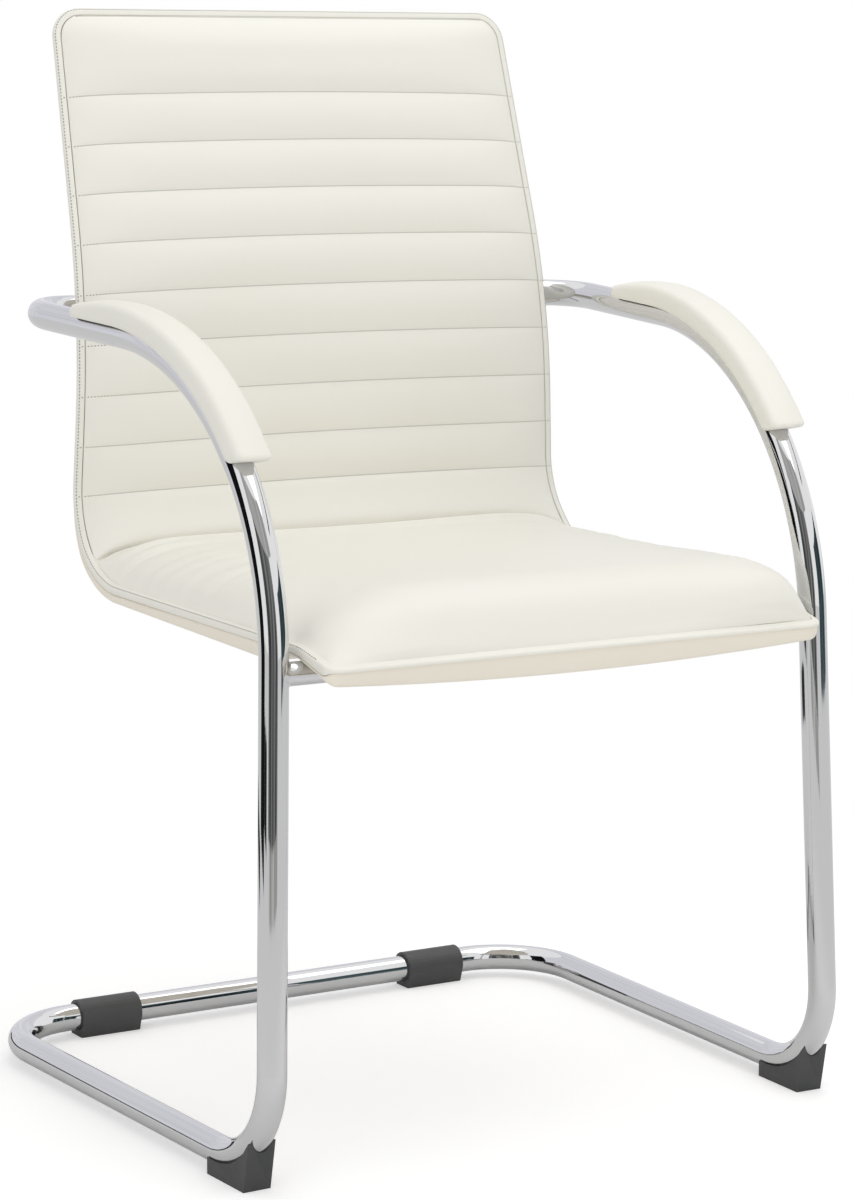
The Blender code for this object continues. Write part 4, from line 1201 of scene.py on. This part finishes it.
def add_camera():
    azimuth, elevation, roll = (math.radians(turn) for turn in CAMERA_TURN)
    level = math.cos(elevation)
    back = Vector((math.sin(azimuth) * level, -math.cos(azimuth) * level, math.sin(elevation)))
    right = Vector((math.cos(azimuth), math.sin(azimuth), 0))
    up = back.cross(right)
    right, up = right * math.cos(roll) + up * math.sin(roll), up * math.cos(roll) - right * math.sin(roll)
    data = bpy.data.cameras.new("camera")
    data.sensor_width = 36.0
    data.lens = FOCAL_PIXELS / IMAGE_HEIGHT * data.sensor_width
    camera = link_object("camera", data)
    turned = Matrix((right, up, back)).transposed().to_4x4()
    camera.matrix_world = Matrix.Translation(CAMERA_PLACE) @ turned
    bpy.context.scene.camera = camera


def add_lamp(name, place, target, size, power, mirrored):
    data = bpy.data.lights.new(name, "AREA")
    data.shape = "RECTANGLE"
    data.size, data.size_y = size
    data.energy = power
    lamp = link_object(name, data)
    lamp.location = place
    lamp.rotation_euler = (Vector(target) - Vector(place)).to_track_quat("-Z", "Y").to_euler()
    lamp.visible_glossy = mirrored


def add_world():
    world = bpy.data.worlds.new("studio")
    bpy.context.scene.world = world
    nodes = Nodes(world)
    background = nodes.tree.nodes["Background"]
    nodes.set(background, "Color", (1, 1, 1))
    nodes.set(background, "Strength", nodes.spread(nodes.seen_directly(), AMBIENT, 1.0))


def add_floor():
    """Pale paper that is lifted towards white for the camera and turns into the background further out."""
    shader = Shader("floor_paper", Base_Color=(0.82, 0.82, 0.82), Roughness=0.9, Specular_IOR_Level=0.0)
    paper = shader.main.outputs[0]
    to_camera = shader.node("LightPath", output="Is Camera Ray")
    lift = shader.node("Emission", {"Strength": FLOOR_LIFT})
    lifted = shader.node("AddShader", {0: paper, 1: lift})
    near = shader.node("MixShader", {0: to_camera, 1: paper, 2: lifted})
    glow = shader.node("Emission", {"Strength": shader.spread(to_camera, FLOOR_IN_CHROME, 1.0)})
    away = shader.node("VectorMath", {0: shader.where}, "Value", operation="LENGTH")
    fade = shader.spread(away, 0.0, 1.0, *FLOOR_FADE, interpolation_type="SMOOTHSTEP")
    factor = shader.node("Math", {0: fade, 1: shader.seen_directly()}, operation="MULTIPLY")
    rim = [(FLOOR_RADIUS * c, FLOOR_RADIUS * s, 0.0) for c, s in circle(96)]
    mesh = plain_mesh("floor", rim, [tuple(range(len(rim)))])
    mesh.materials.append(shader.show(shader.node("MixShader", {0: factor, 1: near, 2: glow})))
    floor = link_object("floor", mesh)


def add_flag(name, first, last, low, high, radius, shade, streaks):
    """A curved studio flag or board round the chair, seen only in the chrome, with upright streaks."""
    steps = max(2, round((last - first) / FLAG_STEP))
    points = []
    for step in range(steps + 1):
        angle = math.radians(first + (last - first) * step / steps)
        points += [(math.sin(angle) * radius, -math.cos(angle) * radius, z) for z in (low, high)]
    faces = [(2 * step, 2 * step + 2, 2 * step + 3, 2 * step + 1) for step in range(steps)]
    shader = Shader(name)
    bands = shader.noise(3.2, 4.0, shader.stretched(1.0, 1.0, 0.15))
    level = shader.spread(bands, 1.0 - streaks, 1.0 + streaks, 0.35, 0.65)
    mesh = plain_mesh(name, points, faces)
    mesh.materials.append(shader.show(shader.node("Emission", {"Color": shade, "Strength": level})))
    flag = link_object(name, mesh)
    flag.visible_camera = False
    flag.visible_diffuse = False
    flag.visible_shadow = False


def add_stage():
    bpy.context.scene.view_settings.view_transform = "Standard"
    add_camera()
    add_world()
    add_floor()
    for lamp in LAMPS:
        add_lamp(*lamp)
    for flag in FLAGS:
        add_flag(*flag)


def main():
    add_stage()
    off_white = leather("off_white_leather", (0.845, 0.83, 0.765), (0.82, 0.80, 0.715), 0.46)
    beige = leather("beige_leather", (0.87, 0.82, 0.715), (0.83, 0.77, 0.655), 0.50)
    # The thread's grey is partly painted shade, standing in for the shadow in the needle holes along the
    # seams.
    thread_grey_for_hole_shade = thread("thread_grey_for_hole_shade", (0.32, 0.315, 0.295))
    bright = chrome("bright_chrome")
    dark = plastic("dark_plastic", (0.028, 0.029, 0.031), (0.085, 0.085, 0.085))
    steel = plated_steel("plated_steel")
    board = plywood("bent_board")

    pad = add_seat_back_pad(off_white)
    loop = edge_loop()
    strip = add_border("edge_strip", loop, strip_section, off_white)
    add_border("side_band", loop, band_section, beige)
    add_rear_cover(beige)
    add_stitches("quilt_stitches", quilt_seams(pad, strip), thread_grey_for_hole_shade)
    add_stitches("border_stitches", border_seams(loop, strip, pad), thread_grey_for_hole_shade)
    add_frame(bright)
    add_seat_tube(bright)
    for label, _ in SIDES:
        add_arm_pad(label, off_white)
        for node in ("front_foot_", "rear_glide_"):
            dress(node + label, dark)
            soften(node + label, SOFT_EDGE)
        for node in ("arm_pad_base_", "back_spacer_"):
            dress(node + label, dark)
        for node in ("floor_spigot_", "back_spigot_", "seat_tee_nut_", "back_tee_nut_"):
            dress(node + label, steel)
        for node in ("seat_bolt_", "back_bolt_", "foot_screw_"):
            add_fastener(node + label, steel)
        for node in ("arm_pad_screw_front_", "arm_pad_screw_rear_"):
            add_fastener(node + label, steel)
    dress("shell_core", board)


main()
